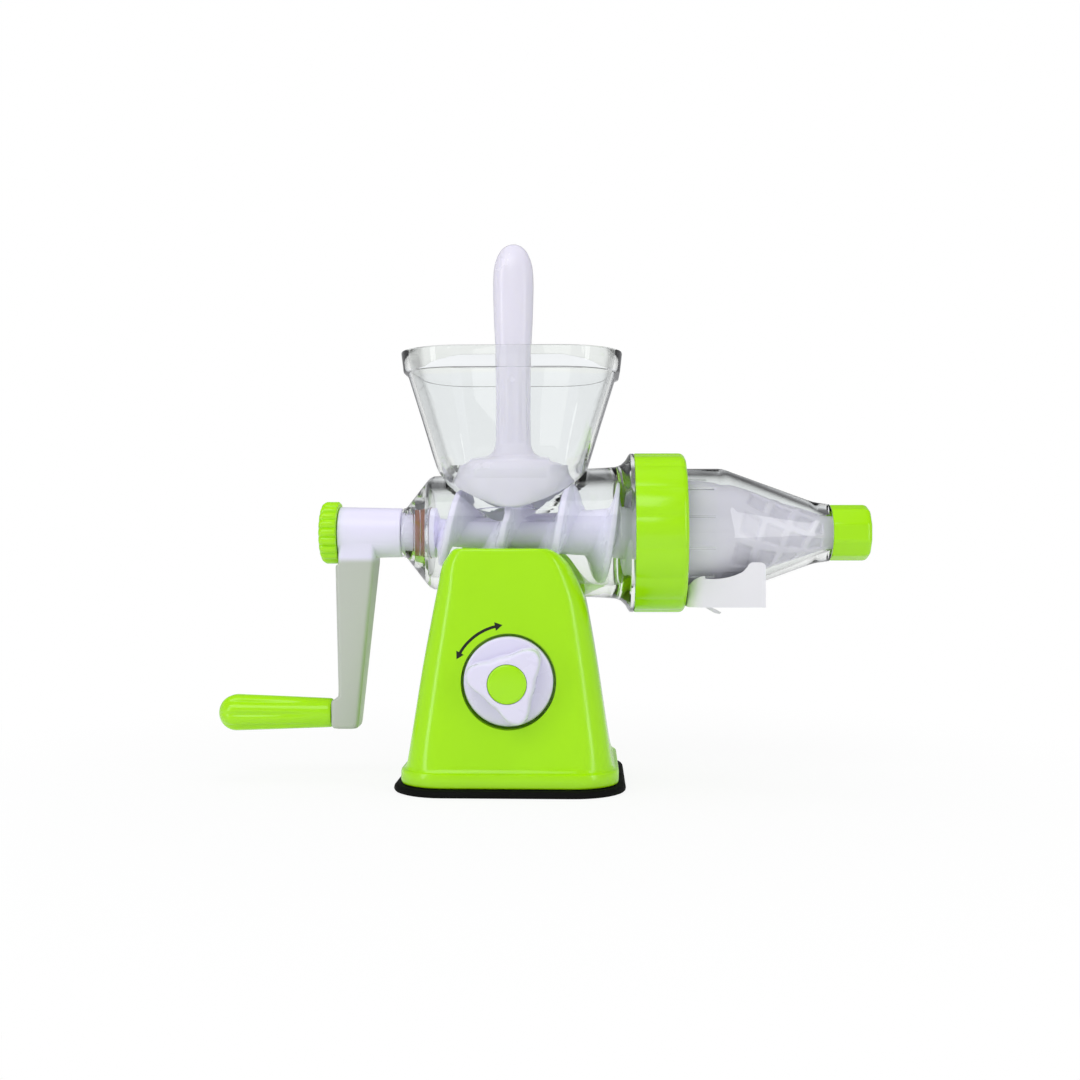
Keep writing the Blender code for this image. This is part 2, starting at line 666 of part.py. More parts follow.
def make_knob_screw():
    head_front = LOBE_FRONT_Y + CAP_THICK + GAP
    head_back = head_front + KNOB_SCREW_HEAD_THICK
    outline = [
        (head_front, 0.0),
        (head_front, KNOB_SCREW_HEAD),
        (head_back, KNOB_SCREW_HEAD),
        (head_back, KNOB_SCREW_RADIUS),
        (WELL_FLOOR_Y, KNOB_SCREW_RADIUS),
        (WELL_FLOOR_Y, 0.0),
    ]
    place_object("knob_screw", turned(outline, "Y", KNOB_AXIS, 8), "steel", KNOB_AXIS)


def cam_centre():
    """The eccentric at rest: below and left of its shaft, half its swing under level."""
    return Vector(
        (
            -CAM_OFFSET * math.cos(KNOB_SWING / 2),
            0.0,
            KNOB_Z - CAM_OFFSET * math.sin(KNOB_SWING / 2),
        )
    )


def make_cam_shaft():
    shaft = place_object(
        "cam_shaft",
        rod(CAM_SHAFT_FRONT_Y, CAM_SHAFT_REAR_Y, CAM_SHAFT_RADIUS, "Y", KNOB_AXIS, SIDES),
        "white",
        KNOB_AXIS,
    )
    cam = rod(-CAM_HALF_WIDTH, CAM_HALF_WIDTH, CAM_RADIUS + 0.1 * MM, "Y", cam_centre(), SIDES)
    add(shaft, helper("cam", cam))
    hole = rod(
        CAM_SHAFT_FRONT_Y - PAST, WELL_FLOOR_Y + GAP, KNOB_SCREW_RADIUS + GAP, "Y", KNOB_AXIS
    )
    cut(shaft, helper("cam_shaft_screw_hole", hole))


def make_pull_stem():
    middle = cam_centre().z
    slot_half = CAM_RADIUS + 2 * GAP
    frame_half = slot_half + YOKE_RAIL
    foot = PAD_POCKET_FLOOR + GAP
    outline = [
        (foot, 0.0),
        (foot, STEM_FOOT_RADIUS),
        (foot + STEM_FOOT_THICK, STEM_FOOT_RADIUS),
        (foot + STEM_FOOT_THICK, STEM_RADIUS),
        (middle - frame_half + 1.0 * MM, STEM_RADIUS),
        (middle - frame_half + 1.0 * MM, 0.0),
    ]
    stem = place_object("pull_stem", turned(outline, "Z"), "white")
    outer = YOKE_SLOT_HALF + YOKE_RAIL
    frame = block(
        (-outer, -YOKE_HALF_THICK, middle - frame_half),
        (outer, YOKE_HALF_THICK, middle + frame_half),
    )
    add(stem, helper("yoke_frame", frame))
    slot = block(
        (-YOKE_SLOT_HALF, -YOKE_HALF_THICK - PAST, middle - slot_half),
        (YOKE_SLOT_HALF, YOKE_HALF_THICK + PAST, middle + slot_half),
    )
    cut(stem, helper("yoke_slot", slot))


# ---------------------------------------------------------------- barrel and hopper


def make_barrel_hopper():
    outside = [
        (NECK_END_X, 0.0),
        (NECK_END_X, NECK_RADIUS - 0.4 * MM),
        (CONE_START_X, NECK_RADIUS),
        (CONE_END_X, CONE_END_RADIUS),
        (BARREL_START_X, BARREL_START_RADIUS),
        (BARREL_END_X, BARREL_END_RADIUS),
        (FLANGE_X - FLANGE_FILLET, FLANGE_RADIUS - FLANGE_FILLET_DROP),
        (FLANGE_X, FLANGE_RADIUS),
        (FLANGE_X + FLANGE_THICK, FLANGE_RADIUS),
        (FLANGE_X + FLANGE_THICK, SPIGOT_RADIUS),
        (SPIGOT_END_X, SPIGOT_RADIUS),
        (SPIGOT_END_X, 0.0),
    ]
    barrel = place_object("barrel_hopper", turned(outside, "X", AXIS), "clear")

    collar = [
        (COLLAR_Z, RIM_HALF_WIDTH - COLLAR_STEP, RIM_HALF_DEPTH - COLLAR_STEP, RIM_CORNER),
        (RIM_Z, RIM_HALF_WIDTH, RIM_HALF_DEPTH, RIM_CORNER),
    ]
    add(barrel, helper("hopper_outside", stacked(HOPPER_SECTIONS + collar)))
    foot = block(
        (-FOOT_HALF_LENGTH, -FOOT_HALF_WIDTH, AXIS_Z - barrel_outside(0.0) - FOOT_DEPTH),
        (FOOT_HALF_LENGTH, FOOT_HALF_WIDTH, AXIS_Z - CHAMBER_END_RADIUS - 1.0 * MM),
    )
    add(barrel, helper("barrel_foot", foot))

    neck_bore = SHAFT_RADIUS + BUSHING_WALL + 2 * GAP
    seal_bore = SEAL_RADIUS + GAP
    bore = [
        (NECK_END_X - PAST, 0.0),
        (NECK_END_X - PAST, neck_bore),
        (SEAL_START_X, neck_bore),
        (SEAL_START_X, seal_bore),
        (CHAMBER_START_X, seal_bore),
        (CHAMBER_START_X, CHAMBER_START_RADIUS - 0.8 * MM),
        (BARREL_START_X, CHAMBER_START_RADIUS),
        (BARREL_END_X, CHAMBER_END_RADIUS),
        (SPIGOT_END_X + PAST, SPIGOT_BORE),
        (SPIGOT_END_X + PAST, 0.0),
    ]
    cut(barrel, helper("barrel_bore", turned(bore, "X", AXIS)))

    throat = []
    for height, half_x, half_y, corner in HOPPER_SECTIONS:
        if height < LEDGE_Z:
            throat.append((height, half_x, LEDGE_HALF_DEPTH + HOPPER_WALL, corner))
        else:
            throat.append((height, half_x, max(half_y - THROAT_LESS, THROAT_HALF_DEPTH), corner))
    ledge = throat[2]
    throat.insert(3, (LEDGE_Z, ledge[1] + 0.2 * MM, THROAT_HALF_DEPTH, ledge[3]))
    throat[2] = (LEDGE_Z - 0.3 * MM, ledge[1], ledge[2], ledge[3])
    bowl = []
    for height, half_x, half_y, corner in HOPPER_SECTIONS[-3:]:
        bowl.append((height, half_x, half_y, corner))
    bowl.append((RIM_Z + PAST, RIM_HALF_WIDTH, RIM_HALF_DEPTH, RIM_CORNER))
    cut(barrel, helper("hopper_inside", stacked(throat[:-3] + bowl, HOPPER_WALL)))


def make_shaft_bushing():
    inner = SHAFT_RADIUS + GAP
    outer = inner + BUSHING_WALL
    start = NECK_END_X + 0.6 * MM
    end = SEAL_START_X - GAP
    outline = [(start, inner), (start, outer), (end, outer), (end, inner)]
    place_object("shaft_bushing", turned(outline, "X", AXIS), "white")


def make_shaft_seal():
    inner = SHAFT_RADIUS + GAP
    start = SEAL_START_X + GAP
    end = CHAMBER_START_X - GAP
    outline = [(start, inner), (start, SEAL_RADIUS), (end, SEAL_RADIUS), (end, inner)]
    place_object("shaft_seal", turned(outline, "X", AXIS), "silicone")


# ---------------------------------------------------------------- auger


def flight_radius(x):
    """The flight's tip, a running gap inside the chamber and then inside the strainer."""
    chamber = [(BARREL_START_X, CHAMBER_START_RADIUS), (BARREL_END_X, CHAMBER_END_RADIUS)]
    enter = STRAINER_PROFILE[0][0]
    if x < enter - FLIGHT_ENTRY:
        return along_line(chamber, x) - FLIGHT_GAP
    inside = along_line(STRAINER_PROFILE, x) - STRAINER_WALL - FLIGHT_GAP
    if x < enter:
        share = (enter - x) / FLIGHT_ENTRY
        return inside + share * (CHAMBER_END_RADIUS - FLIGHT_GAP - inside) * 0.5
    return inside - 0.3 * MM


def make_flight():
    """The flight as a solid of its own, four-sided across, which climbs as it goes forward."""
    loops = []
    turns = (FLIGHT_END_X - FLIGHT_START_X) / PITCH
    steps = round(turns * math.tau / FLIGHT_STEP)
    for step in range(steps + 1):
        x = FLIGHT_START_X + (FLIGHT_END_X - FLIGHT_START_X) * step / steps
        angle = math.tau * (x - FLIGHT_FRONT_X) / PITCH
        outward = Vector((0.0, -math.cos(angle), math.sin(angle)))
        core = along_line(CORE_PROFILE, x)
        tip = max(flight_radius(x), core)
        root_half = 0.5 * min(FLIGHT_ROOT_WIDTH, FLIGHT_TIP_WIDTH + FLIGHT_SLOPE * (tip - core))
        tip_half = 0.5 * FLIGHT_TIP_WIDTH
        corners = [
            (-root_half, core - FLIGHT_SINK),
            (-tip_half, tip),
            (tip_half, tip),
            (root_half, core - FLIGHT_SINK),
        ]
        centre = Vector((x, 0.0, AXIS_Z))
        loops.append([centre + Vector((dx, 0.0, 0.0)) + outward * r for dx, r in corners])
    return lofted(loops)


def make_auger():
    collar_start = CHAMBER_START_X
    outline = [
        (NECK_END_X, 0.0),
        (NECK_END_X, SHAFT_RADIUS),
        (collar_start, SHAFT_RADIUS),
        (collar_start, COLLAR_RADIUS),
        (collar_start + COLLAR_THICK, COLLAR_RADIUS),
        *CORE_PROFILE,
        (CORE_PROFILE[-1][0] + 1.5 * MM, 0.0),
    ]
    auger = place_object("auger", turned(outline, "X", AXIS, 16), "white", AXIS)
    add(auger, helper("flight", make_flight()))
    square = block(
        (SQUARE_END_X, -SQUARE_HALF, AXIS_Z - SQUARE_HALF),
        (NECK_END_X + GAP, SQUARE_HALF, AXIS_Z + SQUARE_HALF),
    )
    add(auger, helper("square_drive", square))
    hole = rod(SQUARE_END_X - PAST, SQUARE_END_X + STUD_DEPTH, STUD_RADIUS + GAP, "X", AXIS)
    cut(auger, helper("stud_hole", hole))


def make_auger_stud():
    start = HUB_END_X - NUT_THICK + 2.4 * MM
    end = SQUARE_END_X + STUD_DEPTH - GAP
    stud = rod(start, end, STUD_RADIUS, "X", AXIS, 16)
    place_object("auger_stud", stud, "steel", AXIS)


# ---------------------------------------------------------------- crank


def make_crank_arm():
    hub_start = NECK_END_X - GAP
    outline = [
        (HUB_END_X, 0.0),
        (HUB_END_X, HUB_RADIUS_OUT),
        (hub_start, NECK_RADIUS),
        (hub_start, 0.0),
    ]
    arm = place_object("crank_arm", turned(outline, "X", AXIS), "white", AXIS)

    nut_clear = AXIS_Z - NUT_RADIUS - 2 * GAP
    boss_low = GRIP_Z - ARM_BOSS_RADIUS
    boss_high = GRIP_Z + ARM_BOSS_RADIUS
    heights = [
        (AXIS_Z - 2.0 * MM, HUB_END_X + GAP),
        (nut_clear + 0.1 * MM, HUB_END_X + GAP),
        (nut_clear, ARM_LEFT_X),
        (boss_high + 0.1 * MM, ARM_LEFT_X + 1.2 * MM),
        (boss_high, ARM_BOSS_X),
        (boss_low + 1.5 * MM, ARM_BOSS_X),
        (boss_low, ARM_BOSS_X + 1.0 * MM),
    ]
    loops = []
    for height, left in heights:
        share = (AXIS_Z - NECK_RADIUS - height) / (AXIS_Z - NECK_RADIUS - boss_low)
        share = min(max(share, 0.0), 1.0)
        right = ARM_RIGHT_TOP_X + share * (ARM_RIGHT_FOOT_X - ARM_RIGHT_TOP_X)
        half_y = ARM_HALF_TOP + share * (ARM_HALF_FOOT - ARM_HALF_TOP)
        flat = rounded_rectangle((right - left) / 2, half_y, 2.4 * MM, 3)
        loops.append([((right + left) / 2 + p.x, p.y, height) for p in flat])
    add(arm, helper("arm_bar", lofted(loops)))

    socket_half = SQUARE_HALF + GAP
    socket = block(
        (SQUARE_END_X - GAP, -socket_half, AXIS_Z - socket_half),
        (hub_start + PAST, socket_half, AXIS_Z + socket_half),
    )
    cut(arm, helper("hub_socket", socket))
    stud_hole = rod(HUB_END_X - PAST, SQUARE_END_X, STUD_RADIUS + GAP, "X", AXIS)
    cut(arm, helper("hub_stud_hole", stud_hole))
    pin_hole = rod(ARM_BOSS_X - PAST, PIN_ROOT_X + GAP, PIN_RADIUS + GAP, "X", GRIP_AXIS)
    cut(arm, helper("arm_pin_hole", pin_hole))


def make_thumb_nut():
    end = HUB_END_X - GAP
    start = end - NUT_THICK

    def toothed(angle):
        return NUT_RADIUS - NUT_TOOTH * (1.0 - math.cos(NUT_TEETH * angle)) / 2

    stations = [(start, 2.6 * MM), (start + 1.8 * MM, 0.4 * MM), (end, 0.0)]
    nut = place_object("thumb_nut", polar_x(stations, toothed, NUT_TEETH * 2), "green", AXIS)
    hole = rod(start + 2.4 * MM - GAP, end + PAST, STUD_RADIUS + GAP, "X", AXIS)
    cut(nut, helper("nut_hole", hole))


def make_grip_pin():
    pin = rod(PIN_END_X, PIN_ROOT_X, PIN_RADIUS, "X", GRIP_AXIS, 16)
    place_object("grip_pin", pin, "steel", GRIP_AXIS)


def make_grip():
    start = ARM_BOSS_X - GAP
    ball = GRIP_END_X + GRIP_RADIUS_BALL
    outline = [(start, 0.0), (start, GRIP_RADIUS_ARM)]
    arc_steps = 6
    for step in range(arc_steps):
        angle = math.pi / 2 * step / arc_steps
        outline.append((ball - GRIP_RADIUS_BALL * math.sin(angle), GRIP_RADIUS_BALL * math.cos(angle)))
    outline.append((GRIP_END_X, 0.0))
    grip = place_object("grip", turned(outline, "X", GRIP_AXIS, 16), "green", GRIP_AXIS)
    bore = rod(PIN_END_X - GAP, start + PAST, PIN_RADIUS + GAP, "X", GRIP_AXIS)
    cut(grip, helper("grip_bore", bore))


# ---------------------------------------------------------------- outlet end


COVER_START_X = SPIGOT_END_X + 2 * GAP + GASKET_THICK
COVER_LIP_X = COVER_START_X + COVER_FLANGE_THICK
STRAINER_START_X = SPIGOT_END_X + GAP
STRAINER_STEP_X = STRAINER_START_X + STRAINER_FLANGE_THICK


def make_locking_ring():
    def scalloped(angle):
        return RING_RADIUS - RING_SCALLOP * (1.0 - abs(math.cos(RING_SCALLOPS * angle / 2)))

    stations = [
        (RING_START_X, 0.0),
        (RING_END_X - 2.4 * MM, 0.0),
        (RING_END_X, 2.4 * MM),
    ]
    solid = polar_x(stations, scalloped, RING_SCALLOPS * 2)
    ring = place_object("locking_ring", solid, "green", AXIS)
    lip_x = COVER_LIP_X + GAP
    bore = [
        (RING_START_X - PAST, 0.0),
        (RING_START_X - PAST, SPIGOT_RADIUS + GAP),
        (lip_x, SPIGOT_RADIUS + GAP),
        (lip_x, COVER_RADIUS + GAP),
        (RING_END_X + PAST, COVER_RADIUS + GAP),
        (RING_END_X + PAST, 0.0),
    ]
    cut(ring, helper("ring_bore", turned(bore, "X", AXIS)))


def make_cover_gasket():
    start = SPIGOT_END_X + GAP
    end = start + GASKET_THICK
    outer = SPIGOT_RADIUS - GAP
    outline = [(start, GASKET_INNER), (start, outer), (end, outer), (end, GASKET_INNER)]
    place_object("cover_gasket", turned(outline, "X", AXIS), "silicone")


def cover_outline(outwards=0.0):
    return [
        (COVER_LIP_X, COVER_RADIUS + outwards),
        (COVER_CONE_X, COVER_RADIUS + outwards),
        (COVER_NECK_X, COVER_NECK_RADIUS + outwards),
        (COVER_END_X, COVER_END_RADIUS + outwards),
    ]


def make_outlet_cover():
    inner = COVER_RADIUS - COVER_WALL
    seat = STRAINER_FLANGE_RADIUS + 1.3 * GAP
    outline = [
        (COVER_START_X, seat),
        (COVER_START_X, COVER_FLANGE_RADIUS),
        (COVER_LIP_X, COVER_FLANGE_RADIUS),
        *cover_outline(),
        (COVER_END_X, COVER_SPIGOT_RADIUS),
        (COVER_SPIGOT_END_X, COVER_SPIGOT_RADIUS),
        (COVER_SPIGOT_END_X, COVER_BORE),
        (COVER_END_X - 1.0 * MM, COVER_BORE),
        (COVER_NECK_X - 0.5 * MM, COVER_NECK_RADIUS - COVER_WALL),
        (COVER_CONE_X - 0.8 * MM, inner),
        (STRAINER_STEP_X + GAP, inner),
        (STRAINER_STEP_X + GAP, seat),
    ]
    cover = place_object("outlet_cover", turned(outline, "X", AXIS), "clear")
    slot = block(
        (JUICE_SLOT_START_X, -JUICE_SLOT_HALF, SPOUT_BOTTOM_Z),
        (JUICE_SLOT_END_X, JUICE_SLOT_HALF, AXIS_Z - inner + 4.0 * MM),
    )
    cut(cover, helper("juice_slot", slot))


def make_strainer():
    outside = STRAINER_PROFILE
    inside = [(x, radius - STRAINER_WALL) for x, radius in reversed(outside)]
    outline = [
        (STRAINER_START_X, inside[-1][1]),
        (STRAINER_START_X, STRAINER_FLANGE_RADIUS),
        (STRAINER_STEP_X, STRAINER_FLANGE_RADIUS),
        (STRAINER_STEP_X, outside[0][1]),
        *outside[1:],
        *inside[:-1],
    ]
    strainer = place_object("strainer", turned(outline, "X", AXIS), "frosted")
    for number in range(SLOT_COUNT):
        slot = block(
            (SLOT_START_X, -SLOT_HALF_WIDTH, 0.0),
            (SLOT_END_X, SLOT_HALF_WIDTH, along_line(outside, SLOT_START_X) + PAST),
        )
        turn = Matrix.Rotation(math.tau * (number + 0.5) / SLOT_COUNT, 4, "X")
        bmesh.ops.transform(slot, matrix=Matrix.Translation(AXIS) @ turn, verts=slot.verts)
        cut(strainer, helper(f"strainer_slot_{number + 1}", slot))


def spout_plan(half_y, start_x, end_x, corner, steps=4):
    """The trough seen from above: round corners at the ring's end, square at the other."""
    points = [(end_x, -half_y), (end_x, half_y)]
    for centre_y, first in ((half_y - corner, 0.5), (-half_y + corner, 1.0)):
        for step in range(steps + 1):
            angle = math.pi * (first + 0.5 * step / steps)
            points.append(
                (start_x + corner + corner * math.cos(angle), centre_y + corner * math.sin(angle))
            )
    return points


def make_juice_spout():
    start = RING_END_X + GAP
    plan = spout_plan(SPOUT_HALF, start, SPOUT_END_X, SPOUT_CORNER)
    heights = (SPOUT_BOTTOM_Z, SPOUT_TOP_Z)
    solid = lofted([[(x, y, z) for x, y in plan] for z in heights])
    spout = place_object("juice_spout", solid, "white")

    lip_low = SPOUT_BOTTOM_Z - DRIP_LIP_DROP
    half = DRIP_HOLE_RADIUS + 2.0 * MM
    side = [
        (DRIP_HOLE_X - 6.0 * MM, SPOUT_BOTTOM_Z + 1.0 * MM),
        (DRIP_HOLE_X - 3.0 * MM, SPOUT_BOTTOM_Z + 1.0 * MM),
        (DRIP_HOLE_X + 6.4 * MM, lip_low + 1.0 * MM),
        (DRIP_HOLE_X + 5.4 * MM, lip_low),
        (DRIP_HOLE_X + 2.4 * MM, lip_low + 0.8 * MM),
    ]
    lip = lofted([[(x, y, z) for x, z in side] for y in (-half, half)])
    add(spout, helper("drip_lip", lip))

    around = [(NECK_END_X, 0.0), (NECK_END_X, COVER_RADIUS + GAP), *cover_outline(GAP)]
    around.append((COVER_END_X, 0.0))
    cut(spout, helper("cover_space", turned(around, "X", AXIS)))

    low_side = AXIS_Z - math.sqrt((COVER_RADIUS + GAP) ** 2 - SPOUT_HALF**2)
    above = block(
        (start - PAST, -SPOUT_HALF - PAST, low_side),
        (TAB_START_X, SPOUT_HALF + PAST, SPOUT_TOP_Z + PAST),
    )
    cut(spout, helper("spout_top", above))

    inner_plan = spout_plan(
        SPOUT_HALF - SPOUT_WALL,
        start + SPOUT_WALL,
        SPOUT_END_X - SPOUT_WALL,
        SPOUT_CORNER - SPOUT_WALL,
    )
    heights = (SPOUT_BOTTOM_Z + SPOUT_WALL, SPOUT_TOP_Z + PAST)
    cut(spout, helper("spout_room", lofted([[(x, y, z) for x, y in inner_plan] for z in heights])))

    hole = rod(
        SPOUT_BOTTOM_Z - 0.4 * MM,
        SPOUT_BOTTOM_Z + SPOUT_WALL + PAST,
        DRIP_HOLE_RADIUS,
        "Z",
        (DRIP_HOLE_X + 4.0 * MM, 0.0, 0.0),
    )
    cut(spout, helper("drip_hole", hole))


def make_end_cap():
    start = COVER_END_X + GAP

    def faceted(angle):
        half = math.pi / END_CAP_FACETS
        return END_CAP_RADIUS * math.cos(half) / math.cos((angle + half) % (2 * half) - half)

    stations = [
        (start, 0.0),
        (CAP_END_X - 2.4 * MM, 0.3 * MM),
        (CAP_END_X, 2.6 * MM),
    ]
    cap = place_object("end_cap", polar_x(stations, faceted, END_CAP_FACETS * 2), "green", AXIS)
    room = [
        (start - PAST, 0.0),
        (start - PAST, COVER_SPIGOT_RADIUS + GAP),
        (COVER_SPIGOT_END_X + GAP, COVER_SPIGOT_RADIUS + GAP),
        (COVER_SPIGOT_END_X + GAP, END_CAP_HOLE),
        (CAP_END_X + PAST, END_CAP_HOLE),
        (CAP_END_X + PAST, 0.0),
    ]
    cut(cap, helper("cap_room", turned(room, "X", AXIS)))


# ---------------------------------------------------------------- pusher


def make_pusher():
    loops = []
    sides = 20
    for height, half_x, half_y in PUSHER_SECTIONS:
        loop = []
        for side in range(sides):
            angle = math.tau * (side + 0.5) / sides
            wide = math.copysign(abs(math.cos(angle)) ** 0.8, math.cos(angle))
            deep = math.copysign(abs(math.sin(angle)) ** 0.8, math.sin(angle))
            loop.append((half_x * wide, half_y * deep, height))
        loops.append(loop)
    pusher = place_object("pusher", lofted(loops), "frosted")
    reach = RIM_HALF_WIDTH
    arch = rod(-reach, reach, PUSHER_ARCH, "X", AXIS, SIDES)
    cut(pusher, helper("pusher_arch", arch))


def main():
    clear_scene()
    make_materials()
    make_suction_pad()
    make_base_shell()
    make_base_plate()
    make_base_screws()
    make_knob()
    make_knob_cap()
    make_knob_screw()
    make_cam_shaft()
    make_pull_stem()
    make_barrel_hopper()
    make_shaft_bushing()
    make_shaft_seal()
    make_auger()
    make_auger_stud()
    make_crank_arm()
    make_thumb_nut()
    make_grip_pin()
    make_grip()
    make_locking_ring()
    make_cover_gasket()
    make_outlet_cover()
    make_strainer()
    make_juice_spout()
    make_end_cap()
    make_pusher()


main()
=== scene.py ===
"""A hand-cranked juicer on a suction base, with its visible pieces made around the CAD frame.

X runs along the barrel, from the crank at -X to the pulp outlet at +X. The knob's side is -Y and
Z is up. All sizes are in metres.
"""

import math

import bmesh
import bpy
from bpy.props import FloatProperty, FloatVectorProperty, IntProperty, PointerProperty
from mathutils import Matrix, Vector


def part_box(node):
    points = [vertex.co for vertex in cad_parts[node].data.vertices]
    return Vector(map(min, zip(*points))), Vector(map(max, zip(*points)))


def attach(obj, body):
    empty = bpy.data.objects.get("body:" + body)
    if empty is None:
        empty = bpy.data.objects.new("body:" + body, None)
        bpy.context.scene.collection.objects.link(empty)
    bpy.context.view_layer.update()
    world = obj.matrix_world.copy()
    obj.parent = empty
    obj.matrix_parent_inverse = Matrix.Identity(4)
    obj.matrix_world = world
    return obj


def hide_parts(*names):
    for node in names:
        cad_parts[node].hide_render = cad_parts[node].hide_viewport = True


bl_info = {
    "name": "Hand-cranked Juicer",
    "version": (1, 0, 0),
    "blender": (4, 5, 0),
    "location": "3D View > Sidebar > Juicer",
    "description": "Makes the visible pieces of a hand-cranked juicer around its CAD frame",
    "category": "Object",
}

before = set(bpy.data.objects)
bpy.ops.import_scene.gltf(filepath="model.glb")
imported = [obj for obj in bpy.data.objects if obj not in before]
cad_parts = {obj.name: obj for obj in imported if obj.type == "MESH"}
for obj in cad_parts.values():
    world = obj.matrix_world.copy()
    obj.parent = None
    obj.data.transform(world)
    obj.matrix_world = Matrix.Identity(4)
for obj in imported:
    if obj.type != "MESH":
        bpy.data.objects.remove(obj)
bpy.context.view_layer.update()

MM = 0.001
MERGE = 0.001 * MM  # points nearer than this are one point
GAP = 0.3 * MM  # between two pieces that touch or run in each other
PAST = 3.0 * MM  # how far a cutter runs past the face that it cuts


def low(node):
    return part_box(node)[0]


def high(node):
    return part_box(node)[1]


def middle(node):
    return (low(node) + high(node)) / 2


# Axes and heights, from the frame
AXIS_Z = middle("end_cap").z
AXIS = Vector((0.0, 0.0, AXIS_Z))
KNOB_Z = middle("knob_cap").z
KNOB_AXIS = Vector((0.0, 0.0, KNOB_Z))
GRIP_Z = middle("grip").z
GRIP_AXIS = Vector((0.0, 0.0, GRIP_Z))
RIM_Z = high("barrel_hopper").z
BARREL_END = high("barrel_hopper").x
STUD_BORE = 3.3 * MM  # round the auger's stud, in the auger, the crank and the nut
CAM_BORE = 5.3 * MM  # round the cam shaft, in the housing and the knob


# ---------------------------------------------------------------- sizes and colours to change


def size_of(label, description, millimetres):
    return FloatProperty(
        name=label, description=description, default=millimetres * MM, min=0.0, unit="LENGTH"
    )


def count_of(label, description, number):
    return IntProperty(name=label, description=description, default=number, min=3, max=400)


def colour_of(label, description, colour):
    return FloatVectorProperty(
        name=label,
        description=description,
        default=colour,
        size=3,
        min=0.0,
        max=1.0,
        subtype="COLOR",
    )


class JuicerSizes(bpy.types.PropertyGroup):
    round_sides: count_of("Round sides", "Facets of a large round piece", 96)
    small_sides: count_of("Small round sides", "Facets of a small round piece", 48)
    corner_steps: count_of("Corner steps", "Facets of a round corner", 10)
    edge: size_of("Edge", "Width of a softened edge", 0.5)
    hopper_wall: size_of("Hopper wall", "Thickness of the hopper's wall", 2.3)
    cover_wall: size_of("Cover wall", "Thickness of the cone cover's wall", 3.1)
    housing_wall: size_of("Housing wall", "Thickness of the base housing", 2.6)
    spout_wall: size_of("Spout wall", "Thickness of the juice spout", 2.0)
    ring_scallops: count_of("Ring scallops", "Hollows round the locking ring", 16)
    ring_scallop: size_of("Ring scallop depth", "Depth of a hollow in the locking ring", 0.8)
    nut_teeth: count_of("Nut teeth", "Teeth round the thumb nut", 20)
    nut_tooth: size_of("Nut tooth", "Height of a tooth of the thumb nut", 1.3)
    cap_facets: count_of("End cap facets", "Flats round the end cap", 10)
    grip_flutes: count_of("Grip flutes", "Grooves round the turning grip", 8)
    grip_flute: size_of("Grip flute depth", "Depth of a groove in the turning grip", 1.3)
    strainer_ribs: count_of("Strainer ribs", "Long ribs round the strainer", 8)
    strainer_relief: size_of("Strainer relief", "Depth of the strainer's windows", 0.9)
    pitch: size_of("Auger pitch", "Climb of the auger's flight in one turn", 29.5)


class JuicerColours(bpy.types.PropertyGroup):
    green: colour_of("Green", "Lime plastic of the base and fittings", (0.41, 0.86, 0.001))
    white: colour_of("White", "White plastic of the crank, knob and auger", (0.82, 0.79, 0.97))
    # painted shade: the arm's darker greenish grey stands in for the shade on its face and the
    # green light reflected from the base
    arm: colour_of("Arm", "Shaded white plastic of the crank's arm", (0.52, 0.55, 0.49))
    matt_white: colour_of("Matt white", "White plastic of the spout", (0.86, 0.85, 0.89))
    clear: colour_of("Clear", "Tint of the clear barrel, hopper and cover", (0.93, 0.945, 0.935))
    frosted: colour_of("Frosted", "Translucent pusher and strainer", (0.89, 0.86, 0.99))
    rubber: colour_of("Rubber", "Suction pad", (0.004, 0.004, 0.004))
    seal: colour_of("Seal", "Shaft seal and gasket", (0.30, 0.12, 0.07))
    sign: colour_of("Sign", "Printed arrow beside the knob", (0.008, 0.012, 0.004))
    steel: colour_of("Steel", "Screws, stud and pin", (0.60, 0.60, 0.62))


class JuicerStage(bpy.types.PropertyGroup):
    distance: size_of("Camera distance", "From the camera to the object", 766.5)
    height: size_of("Camera height", "Height of the level camera", 132.5)
    aim: size_of("Aim", "Where the camera looks along the barrel", 14.8)
    turn: FloatProperty(
        name="Camera turn",
        description="How far the camera stands round to the outlet's side",
        default=math.radians(2.0),
        subtype="ANGLE",
    )
    lens: FloatProperty(name="Lens", description="Focal length in mm", default=46.06, min=10.0)
    key_power: FloatProperty(
        name="Key light", description="Power of the front light", default=4.2, unit="POWER"
    )
    strip_power: FloatProperty(
        name="Strip lights", description="Power of each tall side light", default=1.7, unit="POWER"
    )
    top_power: FloatProperty(
        name="Top light", description="Power of the overhead light", default=4.2, unit="POWER"
    )
    surround: FloatProperty(
        name="Surround", description="Strength of the pale surroundings", default=0.55, min=0.0
    )


def sizes():
    return bpy.context.scene.juicer_sizes


def colours():
    return bpy.context.scene.juicer_colours


def stage_settings():
    return bpy.context.scene.juicer_stage


# ---------------------------------------------------------------- shapes


